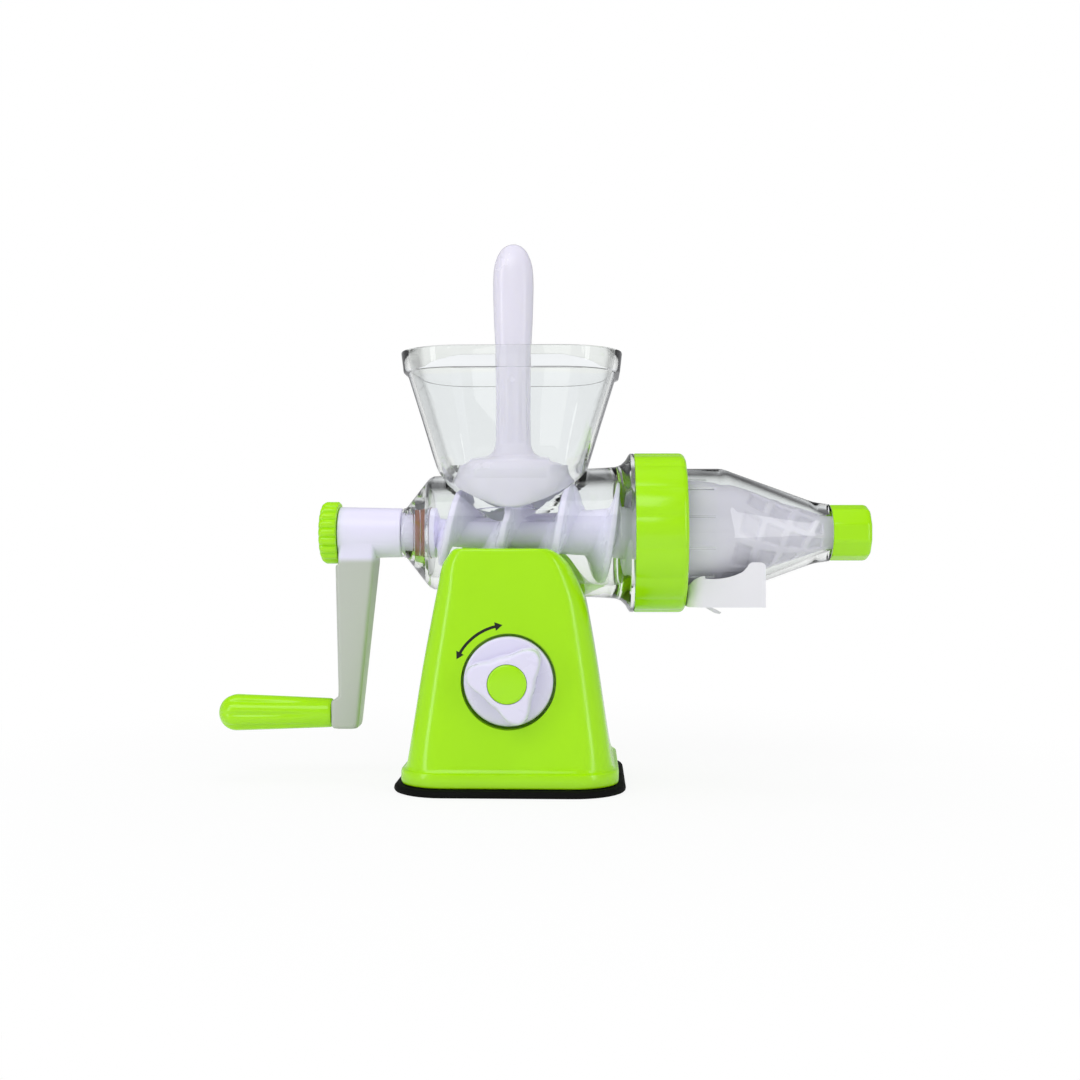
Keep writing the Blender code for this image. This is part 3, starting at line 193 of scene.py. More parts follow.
def lathe(outline, axis="X", centre=(0.0, 0.0, 0.0), sides=None):
    """A solid of revolution. The outline is (place along the axis, radius), closed if it never
    reaches the axis, or else from one end of the axis to the other."""
    bm = bmesh.new()
    verts = [bm.verts.new((along, radius, 0.0)) for along, radius in outline]
    edges = [bm.edges.new(pair) for pair in zip(verts, verts[1:])]
    if outline[0][1] > 0.0:
        edges.append(bm.edges.new((verts[-1], verts[0])))
    bmesh.ops.spin(
        bm,
        geom=verts + edges,
        cent=(0.0, 0.0, 0.0),
        axis=(1.0, 0.0, 0.0),
        dvec=(0.0, 0.0, 0.0),
        angle=math.tau,
        steps=sides or sizes().round_sides,
        use_merge=True,
        use_duplicate=False,
    )
    turn = {
        "X": Matrix.Identity(4),
        "Y": Matrix.Rotation(math.pi / 2, 4, "Z"),
        "Z": Matrix.Rotation(-math.pi / 2, 4, "Y"),
    }[axis]
    bmesh.ops.transform(bm, matrix=Matrix.Translation(centre) @ turn, verts=bm.verts)
    return closed(bm)


def closed(bm):
    """Merges doubles and turns the faces outwards."""
    bmesh.ops.remove_doubles(bm, verts=bm.verts, dist=MERGE)
    bmesh.ops.recalc_face_normals(bm, faces=bm.faces)
    return bm


def rod(start, end, radius, axis="X", centre=(0.0, 0.0, 0.0), sides=None):
    outline = [(start, 0.0), (start, radius), (end, radius), (end, 0.0)]
    return lathe(outline, axis, centre, sides or sizes().small_sides)


def block(low_corner, high_corner):
    bm = bmesh.new()
    size = Vector(high_corner) - Vector(low_corner)
    centre = (Vector(high_corner) + Vector(low_corner)) / 2
    bmesh.ops.create_cube(bm, size=1.0)
    bmesh.ops.scale(bm, vec=size, verts=bm.verts)
    bmesh.ops.translate(bm, vec=centre, verts=bm.verts)
    return bm


def rounded_face(bm, half_x, half_y, corner, height, steps, centre_x=0.0):
    """A level rectangle with round corners, as one face."""
    before = set(bm.faces)
    place = Matrix.Translation((centre_x, 0.0, height)) @ Matrix.Diagonal((half_x, half_y, 1, 1))
    made = bmesh.ops.create_grid(bm, x_segments=1, y_segments=1, size=1.0, matrix=place)
    bmesh.ops.bevel(
        bm,
        geom=made["verts"],
        offset=min(corner, half_x * 0.96, half_y * 0.96),
        offset_type="OFFSET",
        segments=steps,
        profile=0.5,
        affect="VERTICES",
        material=-1,
    )
    return next(face for face in bm.faces if face not in before)


def bridged(bm, faces):
    """Joins level faces into one solid, and keeps only the first and the last face."""
    loops = [list(face.edges) for face in faces]
    bmesh.ops.delete(bm, geom=faces[1:-1], context="FACES_ONLY")
    for one, other in zip(loops, loops[1:]):
        bmesh.ops.bridge_loops(bm, edges=one + other)
    return closed(bm)


def stacked(sections, inset=0.0, steps=None):
    """A solid through rounded rectangles, each (height, half width, half depth, corner), and
    perhaps how far aside its middle lies."""
    bm = bmesh.new()
    faces = []
    for height, half_x, half_y, corner, *aside in sections:
        tight = max(corner - inset, 1.0 * MM)
        steps = steps or sizes().corner_steps
        shape = (half_x - inset, half_y - inset, tight, height, steps, *aside)
        faces.append(rounded_face(bm, *shape))
    return bridged(bm, faces)


def discs(stations, sides, axis, centre):
    """A solid through round faces, each (place along the axis, radius), to be shaped after."""
    bm = bmesh.new()
    faces = []
    for along, radius in stations:
        made = bmesh.ops.create_circle(bm, cap_ends=True, radius=radius, segments=sides)
        bmesh.ops.translate(bm, vec=(0.0, 0.0, along), verts=made["verts"])
        faces.append(made["verts"][0].link_faces[0])
    bridged(bm, faces)
    turn = {
        "X": Matrix.Rotation(math.pi / 2, 4, "Y"),
        "Y": Matrix.Rotation(-math.pi / 2, 4, "X"),
        "Z": Matrix.Identity(4),
    }[axis]
    bmesh.ops.transform(bm, matrix=Matrix.Translation(centre) @ turn, verts=bm.verts)
    return closed(bm)


def reshape_round(bm, axis, centre, radius_at):
    """Moves each point nearer to or further from an axis. radius_at gets the place along the
    axis, the angle round it and the radius, and gives the new radius."""
    a = "XYZ".index(axis)
    u, v = [(1, 2), (0, 2), (0, 1)][a]
    for vert in bm.verts:
        offset = vert.co - Vector(centre)
        radius = math.hypot(offset[u], offset[v])
        if radius > 1e-7:
            angle = math.atan2(offset[v], offset[u])
            share = radius_at(vert.co[a], angle, radius) / radius
            offset[u] *= share
            offset[v] *= share
            vert.co = Vector(centre) + offset
    return bm


def along_line(profile, place):
    """The value of a profile of (place, value) points at one place, straight between them."""
    if place <= profile[0][0]:
        return profile[0][1]
    for (start, value), (end, after) in zip(profile, profile[1:]):
        if place <= end:
            return value + (place - start) / (end - start) * (after - value)
    return profile[-1][1]


def smoothed(sections, between=4):
    """More sections on one smooth curve through the given ones."""
    found = []
    padded = [sections[0], *sections, sections[-1]]
    for before, start, end, after in zip(padded, padded[1:], padded[2:], padded[3:]):
        for step in range(between):
            t = step / between
            row = []
            for a, b, c, d in zip(before, start, end, after):
                curve = 2 * b + (c - a) * t + (2 * a - 5 * b + 4 * c - d) * t * t
                row.append((curve + (3 * b - a - 3 * c + d) * t**3) / 2)
            found.append(tuple(row))
    return [*found, tuple(sections[-1])]


def quarter(start, end, radius, depth, steps=6):
    """Stations of a rounded end, each (place along the axis, radius)."""
    found = []
    for step in range(steps + 1):
        angle = math.pi / 2 * step / steps
        along = start + (end - start) * math.sin(angle)
        found.append((along, radius - depth * (1.0 - math.cos(angle))))
    return found


def quarter_rim(front, size, steps=5):
    """(place, how much less than the full radius) round a front edge."""
    for step in range(steps + 1):
        angle = math.pi / 2 * step / steps
        yield front + size * (1.0 - math.cos(angle)), size * (1.0 - math.sin(angle))


def loose_object(name, bm):
    mesh = bpy.data.meshes.new(name)
    bm.to_mesh(mesh)
    bm.free()
    obj = bpy.data.objects.new(name, mesh)
    bpy.context.scene.collection.objects.link(obj)
    return obj


def combined(bm, operation, *others):
    """One solid with the others added to it or cut from it, all at once."""
    base = loose_object("base", bm)
    tools = bpy.data.collections.new("tools")
    helpers = [loose_object("tool", other) for other in others]
    for helper in helpers:
        tools.objects.link(helper)
    modifier = base.modifiers.new("combine", "BOOLEAN")
    modifier.operation = operation
    modifier.solver = "EXACT"
    modifier.operand_type = "COLLECTION"
    modifier.collection = tools
    bpy.context.view_layer.update()
    graph = bpy.context.evaluated_depsgraph_get()
    mesh = bpy.data.meshes.new_from_object(base.evaluated_get(graph))
    result = bmesh.new()
    result.from_mesh(mesh)
    for obj in (base, *helpers):
        old = obj.data
        bpy.data.objects.remove(obj)
        bpy.data.meshes.remove(old)
    bpy.data.meshes.remove(mesh)
    bpy.data.collections.remove(tools)
    if not result.faces:
        raise RuntimeError("a Boolean left nothing")
    bmesh.ops.remove_doubles(result, verts=result.verts, dist=MERGE)
    bmesh.ops.dissolve_degenerate(result, edges=result.edges, dist=MERGE)
    return result


def make_piece(name, bm, material, body, replaces=(), angle=35.0):
    """Makes the finished object at the origin, hangs it on its body and hides the CAD parts that it
    replaces.
    """
    mesh = bpy.data.meshes.new(name)
    bm.to_mesh(mesh)
    bm.free()
    mesh.shade_smooth()
    mesh.set_sharp_from_angle(angle=math.radians(angle))
    mesh.materials.append(finish(material))
    obj = bpy.data.objects.new(name, mesh)
    bpy.context.scene.collection.objects.link(obj)
    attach(obj, body)
    if replaces:
        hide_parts(*replaces)
    return obj


def soften(obj, width=None, segments=3, angle=35.0):
    """Rounds the sharp edges of a finished piece."""
    bevel = obj.modifiers.new("soft edges", "BEVEL")
    bevel.width = width or sizes().edge
    bevel.segments = segments
    bevel.limit_method = "ANGLE"
    bevel.angle_limit = math.radians(angle)
    bevel.harden_normals = True
    return obj


# ---------------------------------------------------------------- materials


def finish(name):
    """A material of this script. The frame brings plain ones of its own with like names."""
    return bpy.data.materials["finish_" + name]


def new_material(name):
    material = bpy.data.materials.new("finish_" + name)
    material.use_nodes = True
    tree = material.node_tree
    return tree, tree.nodes["Principled BSDF"]


def noise(tree, scale, detail=3.0, roughness=0.5, stretch=(1.0, 1.0, 1.0)):
    """Noise on the piece's own coordinates, with the given waves per metre."""
    place = tree.nodes.new("ShaderNodeTexCoord")
    mapping = tree.nodes.new("ShaderNodeMapping")
    mapping.inputs["Scale"].default_value = stretch
    made = tree.nodes.new("ShaderNodeTexNoise")
    made.inputs["Scale"].default_value = scale
    made.inputs["Detail"].default_value = detail
    made.inputs["Roughness"].default_value = roughness
    tree.links.new(place.outputs["Object"], mapping.inputs["Vector"])
    tree.links.new(mapping.outputs["Vector"], made.inputs["Vector"])
    return made.outputs["Fac"]


def spread(tree, value, low_value, high_value):
    """The value, from 0.3 to 0.7, spread between two numbers."""
    made = tree.nodes.new("ShaderNodeMapRange")
    made.inputs["From Min"].default_value = 0.3
    made.inputs["From Max"].default_value = 0.7
    made.inputs["To Min"].default_value = low_value
    made.inputs["To Max"].default_value = high_value
    tree.links.new(value, made.inputs["Value"])
    return made.outputs["Result"]


def smooth_step(tree, value, start, end, at_start=0.0, at_end=1.0):
    """Goes smoothly from one number to another while the value goes from start to end."""
    made = tree.nodes.new("ShaderNodeMapRange")
    made.interpolation_type = "SMOOTHSTEP"
    made.inputs["From Min"].default_value = start
    made.inputs["From Max"].default_value = end
    made.inputs["To Min"].default_value = at_start
    made.inputs["To Max"].default_value = at_end
    tree.links.new(value, made.inputs["Value"])
    return made.outputs["Result"]


def worked_out(tree, operation, one, other):
    made = tree.nodes.new("ShaderNodeMath")
    made.operation = operation
    tree.links.new(one, made.inputs[0])
    tree.links.new(other, made.inputs[1])
    return made.outputs["Value"]


def shaders_mixed(tree, share, one, other, output):
    """One shader and the other, by the share of the other, as what the output shows."""
    mix = tree.nodes.new("ShaderNodeMixShader")
    tree.links.new(share, mix.inputs["Fac"])
    tree.links.new(one, mix.inputs[1])
    tree.links.new(other, mix.inputs[2])
    tree.links.new(mix.outputs["Shader"], tree.nodes[output].inputs["Surface"])


def between(tree, value, one, other):
    """A colour between two, by the value."""
    made = tree.nodes.new("ShaderNodeMix")
    made.data_type = "RGBA"
    made.inputs[6].default_value = (*one, 1.0)
    made.inputs[7].default_value = (*other, 1.0)
    tree.links.new(value, made.inputs[0])
    return made.outputs[2]


def bump(tree, shader, value, distance, strength):
    made = tree.nodes.new("ShaderNodeBump")
    made.inputs["Strength"].default_value = strength
    made.inputs["Distance"].default_value = distance
    tree.links.new(value, made.inputs["Height"])
    tree.links.new(made.outputs["Normal"], shader.inputs["Normal"])
    return made


def height_share(tree, low_z, high_z):
    """0 below one height of the piece and 1 above the other."""
    place = tree.nodes.new("ShaderNodeTexCoord")
    apart = tree.nodes.new("ShaderNodeSeparateXYZ")
    tree.links.new(place.outputs["Object"], apart.inputs[0])
    return smooth_step(tree, apart.outputs["Z"], low_z, high_z)


def shaded(colour, share):
    return tuple(channel * share for channel in colour)


def moulded(name, colour, rough=(0.2, 0.3), grain=900.0, depth=0.02, coat=0.0, light=0.0):
    """Moulded plastic: slow changes of tone, a faint uneven gloss and a fine skin texture."""
    tree, shader = new_material(name)
    tone = noise(tree, 14.0, 2.0)
    soft = between(tree, spread(tree, tone, 0.0, 1.0), shaded(colour, 0.955), colour)
    tree.links.new(soft, shader.inputs["Base Color"])
    gloss = noise(tree, 55.0, 4.0, 0.6)
    tree.links.new(spread(tree, gloss, *rough), shader.inputs["Roughness"])
    bump(tree, shader, noise(tree, grain, 2.0), depth * MM, 0.35)
    shader.inputs["Coat Weight"].default_value = coat
    shader.inputs["Coat Roughness"].default_value = 0.04
    shader.inputs["IOR"].default_value = 1.5
    if light:
        shader.inputs["Subsurface Weight"].default_value = light
        shader.inputs["Subsurface Radius"].default_value = (0.5, 0.5, 0.6)
        shader.inputs["Subsurface Scale"].default_value = 0.004
    return tree, shader


def let_light_through(tree, shader, tint):
    """Lamps and bounced light go straight through, so that what stands behind stays lit."""
    path = tree.nodes.new("ShaderNodeLightPath").outputs
    clear = tree.nodes.new("ShaderNodeBsdfTransparent")
    clear.inputs["Color"].default_value = (*tint, 1.0)
    passing = worked_out(tree, "MAXIMUM", path["Is Shadow Ray"], path["Is Diffuse Ray"])
    surface, straight = shader.outputs["BSDF"], clear.outputs["BSDF"]
    shaders_mixed(tree, passing, surface, straight, "Material Output")


def glassy(name, colour, rough=(0.0, 0.02), wave=0.05):
    """Clear moulded plastic, with the slight waves that a mould leaves."""
    tree, shader = new_material(name)
    tone = spread(tree, noise(tree, 9.0, 2.0), 0.0, 1.0)
    clear = between(tree, tone, shaded(colour, 0.98), colour)
    # darker tint towards an edge: partly the longer path through the plastic, partly painted shade
    # for the dark edges that refraction shows
    facing = tree.nodes.new("ShaderNodeLayerWeight")
    facing.inputs["Blend"].default_value = 0.5
    edge = smooth_step(tree, facing.outputs["Facing"], 0.45, 0.98)
    tint = tree.nodes.new("ShaderNodeMix")
    tint.data_type = "RGBA"
    tint.inputs[7].default_value = (*shaded(colour, 0.25), 1.0)
    tree.links.new(edge, tint.inputs[0])
    tree.links.new(clear, tint.inputs[6])
    tree.links.new(tint.outputs[2], shader.inputs["Base Color"])
    gloss = noise(tree, 60.0, 4.0, 0.6)
    tree.links.new(spread(tree, gloss, *rough), shader.inputs["Roughness"])
    bump(tree, shader, noise(tree, 45.0, 1.0), wave * MM, 0.1)
    shader.inputs["Transmission Weight"].default_value = 1.0
    shader.inputs["IOR"].default_value = 1.46
    let_light_through(tree, shader, (0.975, 0.98, 0.978))
    return tree, shader


def milky(name, colour, clearness, rough=(0.16, 0.28)):
    """Translucent plastic that scatters what goes through it."""
    tree, shader = moulded(name, colour, rough, 700.0, 0.03, 0.25, 0.25)
    shader.inputs["Transmission Weight"].default_value = clearness
    shader.inputs["IOR"].default_value = 1.45
    return tree, shader


def make_materials():
    c = colours()
    moulded("green_plastic", c.green, (0.16, 0.26), 800.0, 0.015, 0.08)
    moulded("white_plastic", c.white, (0.22, 0.34), 900.0, 0.02, 0.15, 0.1)
    tree, shader = moulded("crank_plastic_painted_shade", c.white, (0.3, 0.34), 900.0, 0.02, 0.1)
    # painted shade: below the hub the arm takes the darker Arm colour, for the shade on its face
    # and the green light reflected from the base
    arm_shade_share = height_share(tree, AXIS_Z - 17.0 * MM, AXIS_Z - 13.0 * MM)
    tree.links.new(between(tree, arm_shade_share, c.arm, c.white), shader.inputs["Base Color"])
    # painted light: the auger's white is made 12% brighter, for the light that reaches it only
    # weakly through the clear walls
    moulded("auger_plastic_painted_light", shaded(c.white, 1.12), (0.22, 0.34), 900.0, 0.02, 0.15, 0.1)
    moulded("matt_white_plastic", c.matt_white, (0.42, 0.55), 1400.0, 0.05)
    glassy("clear_plastic", c.clear)
    milky("pusher_plastic", c.frosted, 0.1)
    # painted light: the strainer's ribs are a brighter copy of the frosted plastic, for the light
    # that reaches them only weakly through the clear cover
    milky("strainer_plastic_painted_light", shaded(c.frosted, 1.05), 0.2, (0.12, 0.2))
    # the windows are a darker, rougher copy: partly a thinner see-through film, partly painted
    # shade between the ribs
    milky("strainer_window_painted_shade", shaded(c.frosted, 0.88), 0.12, (0.3, 0.4))
    tree, shader = moulded("black_rubber", c.rubber, (0.6, 0.8), 1600.0, 0.08)
    shader.inputs["Specular IOR Level"].default_value = 0.12
    moulded("seal_rubber", c.seal, (0.5, 0.65), 1200.0, 0.05)
    moulded("sign_ink", c.sign, (0.35, 0.5), 2500.0, 0.01)
    tree, shader = moulded("steel", c.steel, (0.18, 0.32), 2200.0, 0.01)
    shader.inputs["Metallic"].default_value = 1.0


CAD_FINISHES = {
    "white_plastic": ("base_plate", "cam_shaft", "pull_stem", "shaft_bushing"),
    "seal_rubber": ("shaft_seal", "cover_gasket"),
    "steel": (
        "base_screw_1",
        "base_screw_2",
        "base_screw_3",
        "base_screw_4",
        "knob_screw",
        "auger_stud",
        "grip_pin",
    ),
}


# ---------------------------------------------------------------- base


PAD_HALF = high("suction_pad").x
PAD_TOP = high("suction_pad").z
LIP_BOTTOM = low("base_shell").z
# (height, half width, half depth, corner radius)
LIP = [
    (LIP_BOTTOM, 56.9 * MM, 56.9 * MM, 23.6 * MM),
    (LIP_BOTTOM + 0.5 * MM, 57.5 * MM, 57.5 * MM, 24.0 * MM),
    (LIP_BOTTOM + 1.4 * MM, 57.7 * MM, 57.7 * MM, 24.0 * MM),
    (10.6 * MM, 57.7 * MM, 57.7 * MM, 24.0 * MM),
    (11.5 * MM, 57.4 * MM, 57.4 * MM, 23.8 * MM),
    (12.0 * MM, 56.7 * MM, 56.7 * MM, 23.4 * MM),
    (12.2 * MM, 55.8 * MM, 55.8 * MM, 21.5 * MM),
]
# the same, and how far aside the middle lies
HOUSING = [
    (13.4 * MM, 54.9 * MM, 54.9 * MM, 20.0 * MM, 0.0),
    (16.5 * MM, 54.0 * MM, 54.0 * MM, 18.2 * MM, 0.0),
    (30.0 * MM, 51.8 * MM, 52.0 * MM, 16.6 * MM, 0.0),
    (64.0 * MM, 46.7 * MM, 47.7 * MM, 15.5 * MM, 0.0),
    (92.0 * MM, 41.8 * MM, 44.1 * MM, 14.3 * MM, 0.0),
    (101.0 * MM, 39.9 * MM, 42.95 * MM, 13.6 * MM, -0.2 * MM),
    (109.0 * MM, 37.6 * MM, 42.0 * MM, 12.8 * MM, -0.9 * MM),
    (115.0 * MM, 35.6 * MM, 41.2 * MM, 11.6 * MM, -1.8 * MM),
    (120.0 * MM, 33.4 * MM, 40.5 * MM, 10.4 * MM, -2.5 * MM),
    (124.5 * MM, 29.8 * MM, 39.9 * MM, 8.4 * MM, -3.1 * MM),
    (127.2 * MM, 26.4 * MM, 39.5 * MM, 7.0 * MM, -4.1 * MM),
    (128.0 * MM, 24.2 * MM, 38.7 * MM, 5.8 * MM, -4.4 * MM),
]
BOSSES = [(x * 41.0 * MM, y * 41.0 * MM) for x in (-1, 1) for y in (-1, 1)]
WELL_RADIUS = high("knob").x + 1.5 * MM
WELL_FLOOR_Y = high("knob").y + GAP
REACH = 75.0 * MM


def barrel_outside(x):
    return along_line([(-43.7 * MM, 31.4 * MM), (56.4 * MM, 36.2 * MM)], x)


def front_of_housing(height):
    """How far the housing's face stands out at a height."""
    return along_line([(section[0], section[2]) for section in HOUSING], height)


class JUICER_OT_suction_pad(bpy.types.Operator):
    """Makes the rubber suction pad, with a soft edge and a pocket for the stem's foot"""

    bl_idname = "juicer.suction_pad"
    bl_label = "Suction Pad"

    def execute(self, context):
        sections = []
        for up, less in ((0.0, 1.6), (0.3, 0.7), (0.9, 0.15), (1.6, 0.0), (2.8, 0.25), (3.6, 0.9)):
            half = PAD_HALF - less * MM
            sections.append((up * MM, half, half, 28.0 * MM - less * MM))
        half = PAD_HALF - 1.8 * MM
        sections.append((PAD_TOP, half, half, 26.4 * MM))
        pocket = rod(1.5 * MM, PAD_TOP + PAST, 14.3 * MM, "Z")
        pad = combined(stacked(sections), "DIFFERENCE", pocket)
        make_piece("pad_rubber", pad, "black_rubber", "root", ["suction_pad"])
        return {"FINISHED"}


class JUICER_OT_housing(bpy.types.Operator):
    """Makes the lime housing with its saddle, knob well, bosses and hollow inside"""

    bl_idname = "juicer.housing"
    bl_label = "Base Housing"

    def execute(self, context):
        wall = sizes().housing_wall
        body = stacked([*LIP, *smoothed(HOUSING, 3)])

        hollow = [(LIP_BOTTOM - PAST, 57.7 * MM, 57.7 * MM, 24.0 * MM)]
        hollow.append((12.0 * MM - wall, 57.7 * MM, 57.7 * MM, 24.0 * MM))
        for up, *shape in HOUSING[:-1]:
            hollow.append((up - 0.4 * wall, *shape))
        cavity = stacked(hollow, wall)
        start, end = barrel_outside(-REACH) + GAP, barrel_outside(REACH) + GAP
        saddle = [(-REACH, 0.0), (-REACH, start), (REACH, end), (REACH, 0.0)]
        roof = [(x, radius + 3.0 * MM if radius else 0.0) for x, radius in saddle]
        kept = [
            lathe(roof, "X", AXIS),
            rod(-REACH, WELL_FLOOR_Y + 3.0 * MM, WELL_RADIUS + 2.4 * MM, "Y", KNOB_AXIS),
            rod(18.0 * MM, REACH, 8.0 * MM, "Y", KNOB_AXIS),
        ]
        for x, y in BOSSES:
            kept.append(rod(7.6 * MM, 60.0 * MM, 5.0 * MM, "Z", (x, y, 0.0)))
        cavity = combined(cavity, "DIFFERENCE", *kept)

        cuts = [
            cavity,
            lathe(saddle, "X", AXIS, 2 * sizes().round_sides),
            rod(-REACH, WELL_FLOOR_Y, WELL_RADIUS, "Y", KNOB_AXIS, sizes().round_sides),
            rod(-REACH, high("cam_shaft").y + GAP, CAM_BORE, "Y", KNOB_AXIS),
            block((-15.3 * MM, -6.3 * MM, 96.0 * MM), (15.3 * MM, 6.3 * MM, AXIS_Z)),
        ]
        for x, y in BOSSES:
            cuts.append(rod(4.0 * MM, 20.7 * MM, 2.1 * MM, "Z", (x, y, 0.0)))
        housing = combined(body, "DIFFERENCE", *cuts)
        piece = make_piece(
            "housing", housing, "green_plastic", "root", ["base_shell"], 32.0
        )
        soften(piece, 0.6 * MM, 3, 38.0)
        return {"FINISHED"}


# ---------------------------------------------------------------- suction knob


LOBE_TIP, LOBE_VALLEY = 22.8 * MM, 14.6 * MM
LOBE_TURN = math.radians(47.0)
LOBE_FRONT = low("knob").y
DISC_FRONT = -48.6 * MM
DISC_RADIUS = high("knob").x
CAP_RADIUS = high("knob_cap").x


def lobe_radius(angle):
    """Three narrow round lobes with wide shallow valleys between them."""
    swell = (1.0 + math.cos(3 * (angle - LOBE_TURN))) / 2
    return LOBE_VALLEY + (LOBE_TIP - LOBE_VALLEY) * swell**2


class JUICER_OT_knob(bpy.types.Operator):
    """Makes the white knob with its raised three-lobed grip, and the green disc in its middle"""

    bl_idname = "juicer.knob"
    bl_label = "Suction Knob"

    def execute(self, context):
        sides = 2 * sizes().round_sides
        back = high("knob").y
        rim = [(front, DISC_RADIUS - less) for front, less in quarter_rim(DISC_FRONT, 1.4 * MM)]
        disc = lathe([(DISC_FRONT, 0.0), *rim, (back, DISC_RADIUS), (back, 0.0)], "Y", KNOB_AXIS)

        stations = [(DISC_FRONT + 1.0 * MM, LOBE_TIP)]
        stations.append((DISC_FRONT - 0.1 * MM, LOBE_TIP))
        stations.append((DISC_FRONT - 1.2 * MM, LOBE_TIP - 0.5 * MM))
        stations += quarter(LOBE_FRONT + 2.6 * MM, LOBE_FRONT, LOBE_TIP - 0.9 * MM, 2.2 * MM)
        grip = discs(stations, sides, "Y", KNOB_AXIS)
        reshape_round(grip, "Y", KNOB_AXIS, lambda y, a, r: lobe_radius(a) - (LOBE_TIP - r))
        for vert in grip.verts:
            reach = math.hypot(vert.co.x, vert.co.z - KNOB_Z) / LOBE_TIP
            if vert.co.y < DISC_FRONT - 2.0 * MM:
                vert.co.y += 1.1 * MM * reach**3

        knob = combined(disc, "UNION", grip)
        room = [
            (LOBE_FRONT - PAST, 0.0),
            (LOBE_FRONT - PAST, CAP_RADIUS + 0.25 * MM),
            (high("knob_cap").y + GAP, CAP_RADIUS + 0.25 * MM),
            (high("knob_cap").y + GAP, 3.9 * MM),
            (-55.9 * MM, 3.9 * MM),
            (-55.9 * MM, 1.9 * MM),
            (-46.3 * MM, 1.9 * MM),
            (-46.3 * MM, CAM_BORE),
            (back + PAST, CAM_BORE),
            (back + PAST, 0.0),
        ]
        knob = combined(knob, "DIFFERENCE", lathe(room, "Y", KNOB_AXIS))
        piece = make_piece(
            "knob_dial", knob, "white_plastic", "suction_knob", ["knob"]
        )
        soften(piece, 0.35 * MM, 2, 40.0)

        front = low("knob_cap").y
        dome = [(front, 0.0), (front + 0.05 * MM, 4.0 * MM), (front + 0.15 * MM, 8.2 * MM)]
        dome += [(front + 0.35 * MM, 9.4 * MM), (front + 0.9 * MM, CAP_RADIUS)]
        dome += [(high("knob_cap").y, CAP_RADIUS), (high("knob_cap").y, 0.0)]
        make_piece(
            "knob_disc",
            lathe(dome, "Y", KNOB_AXIS),
            "green_plastic",
            "suction_knob",
            ["knob_cap"],
            50.0,
        )
        return {"FINISHED"}


class JUICER_OT_sign(bpy.types.Operator):
    """Lays the double-headed arrow of the knob's travel on the housing's face"""

    bl_idname = "juicer.sign"
    bl_label = "Arrow Sign"

    def execute(self, context):
        radius, half, thick = 29.4 * MM, 0.75 * MM, 0.12 * MM
        start, end = math.radians(103.5), math.radians(150.0)
        bm = bmesh.new()
        ends = [bm.verts.new((radius + side * half, 0.0, 0.0)) for side in (-1, 1)]
        strip = bm.edges.new(ends)
        bmesh.ops.rotate(bm, verts=ends, cent=(0, 0, 0), matrix=Matrix.Rotation(start, 3, "Z"))
        bmesh.ops.spin(
            bm,
            geom=[*ends, strip],
            cent=(0.0, 0.0, 0.0),
            axis=(0.0, 0.0, 1.0),
            dvec=(0.0, 0.0, 0.0),
            angle=end - start,
            steps=sizes().small_sides,
            use_merge=False,
            use_duplicate=False,
        )
        for angle, way in ((start, -1), (end, 1)):
            head = bmesh.ops.create_circle(bm, cap_ends=True, radius=2.6 * MM, segments=3)
            point = Matrix.Rotation(angle + way * math.radians(2.0), 4, "Z")
            point @= Matrix.Translation((radius, 0.0, 0.0))
            point @= Matrix.Rotation(0.0 if way > 0 else math.pi, 4, "Z")
            bmesh.ops.transform(bm, matrix=point, verts=head["verts"])
        bmesh.ops.remove_doubles(bm, verts=bm.verts, dist=MERGE)
        for vert in bm.verts:
            height = KNOB_Z + vert.co.y
            vert.co = (vert.co.x, -front_of_housing(height) - 0.02 * MM, height)
        bmesh.ops.recalc_face_normals(bm, faces=bm.faces)
        bmesh.ops.solidify(bm, geom=bm.faces, thickness=thick)
        for vert in bm.verts:
            face = -front_of_housing(vert.co.z)
            vert.co.y = min(max(vert.co.y, face - thick), face + 0.05 * MM)
        make_piece("arrow_sign", closed(bm), "sign_ink", "root", (), 20.0)
        return {"FINISHED"}


# ---------------------------------------------------------------- barrel, hopper and pusher


HOPPER = [
    (138.0 * MM, 10.0 * MM, 31.0 * MM, 8.0 * MM),
    (144.0 * MM, 17.5 * MM, 33.2 * MM, 12.0 * MM),
    (150.0 * MM, 24.6 * MM, 33.6 * MM, 16.0 * MM),
    (156.0 * MM, 29.9 * MM, 33.9 * MM, 18.0 * MM),
    (160.0 * MM, 33.0 * MM, 34.2 * MM, 19.0 * MM),
    (166.0 * MM, 37.4 * MM, 35.2 * MM, 20.0 * MM),
    (172.5 * MM, 41.0 * MM, 36.6 * MM, 21.0 * MM),
    (197.0 * MM, 48.6 * MM, 41.8 * MM, 26.0 * MM),
    (222.6 * MM, 56.6 * MM, 47.6 * MM, 31.0 * MM),
]
LEDGE_Z = 150.2 * MM
CHAMBER = [(-43.7 * MM, 25.3 * MM), (56.4 * MM, 29.5 * MM)]
SEAL_BORE = high("shaft_seal").y + GAP
NECK_BORE = high("shaft_bushing").y + GAP
NECK_END = low("barrel_hopper").x


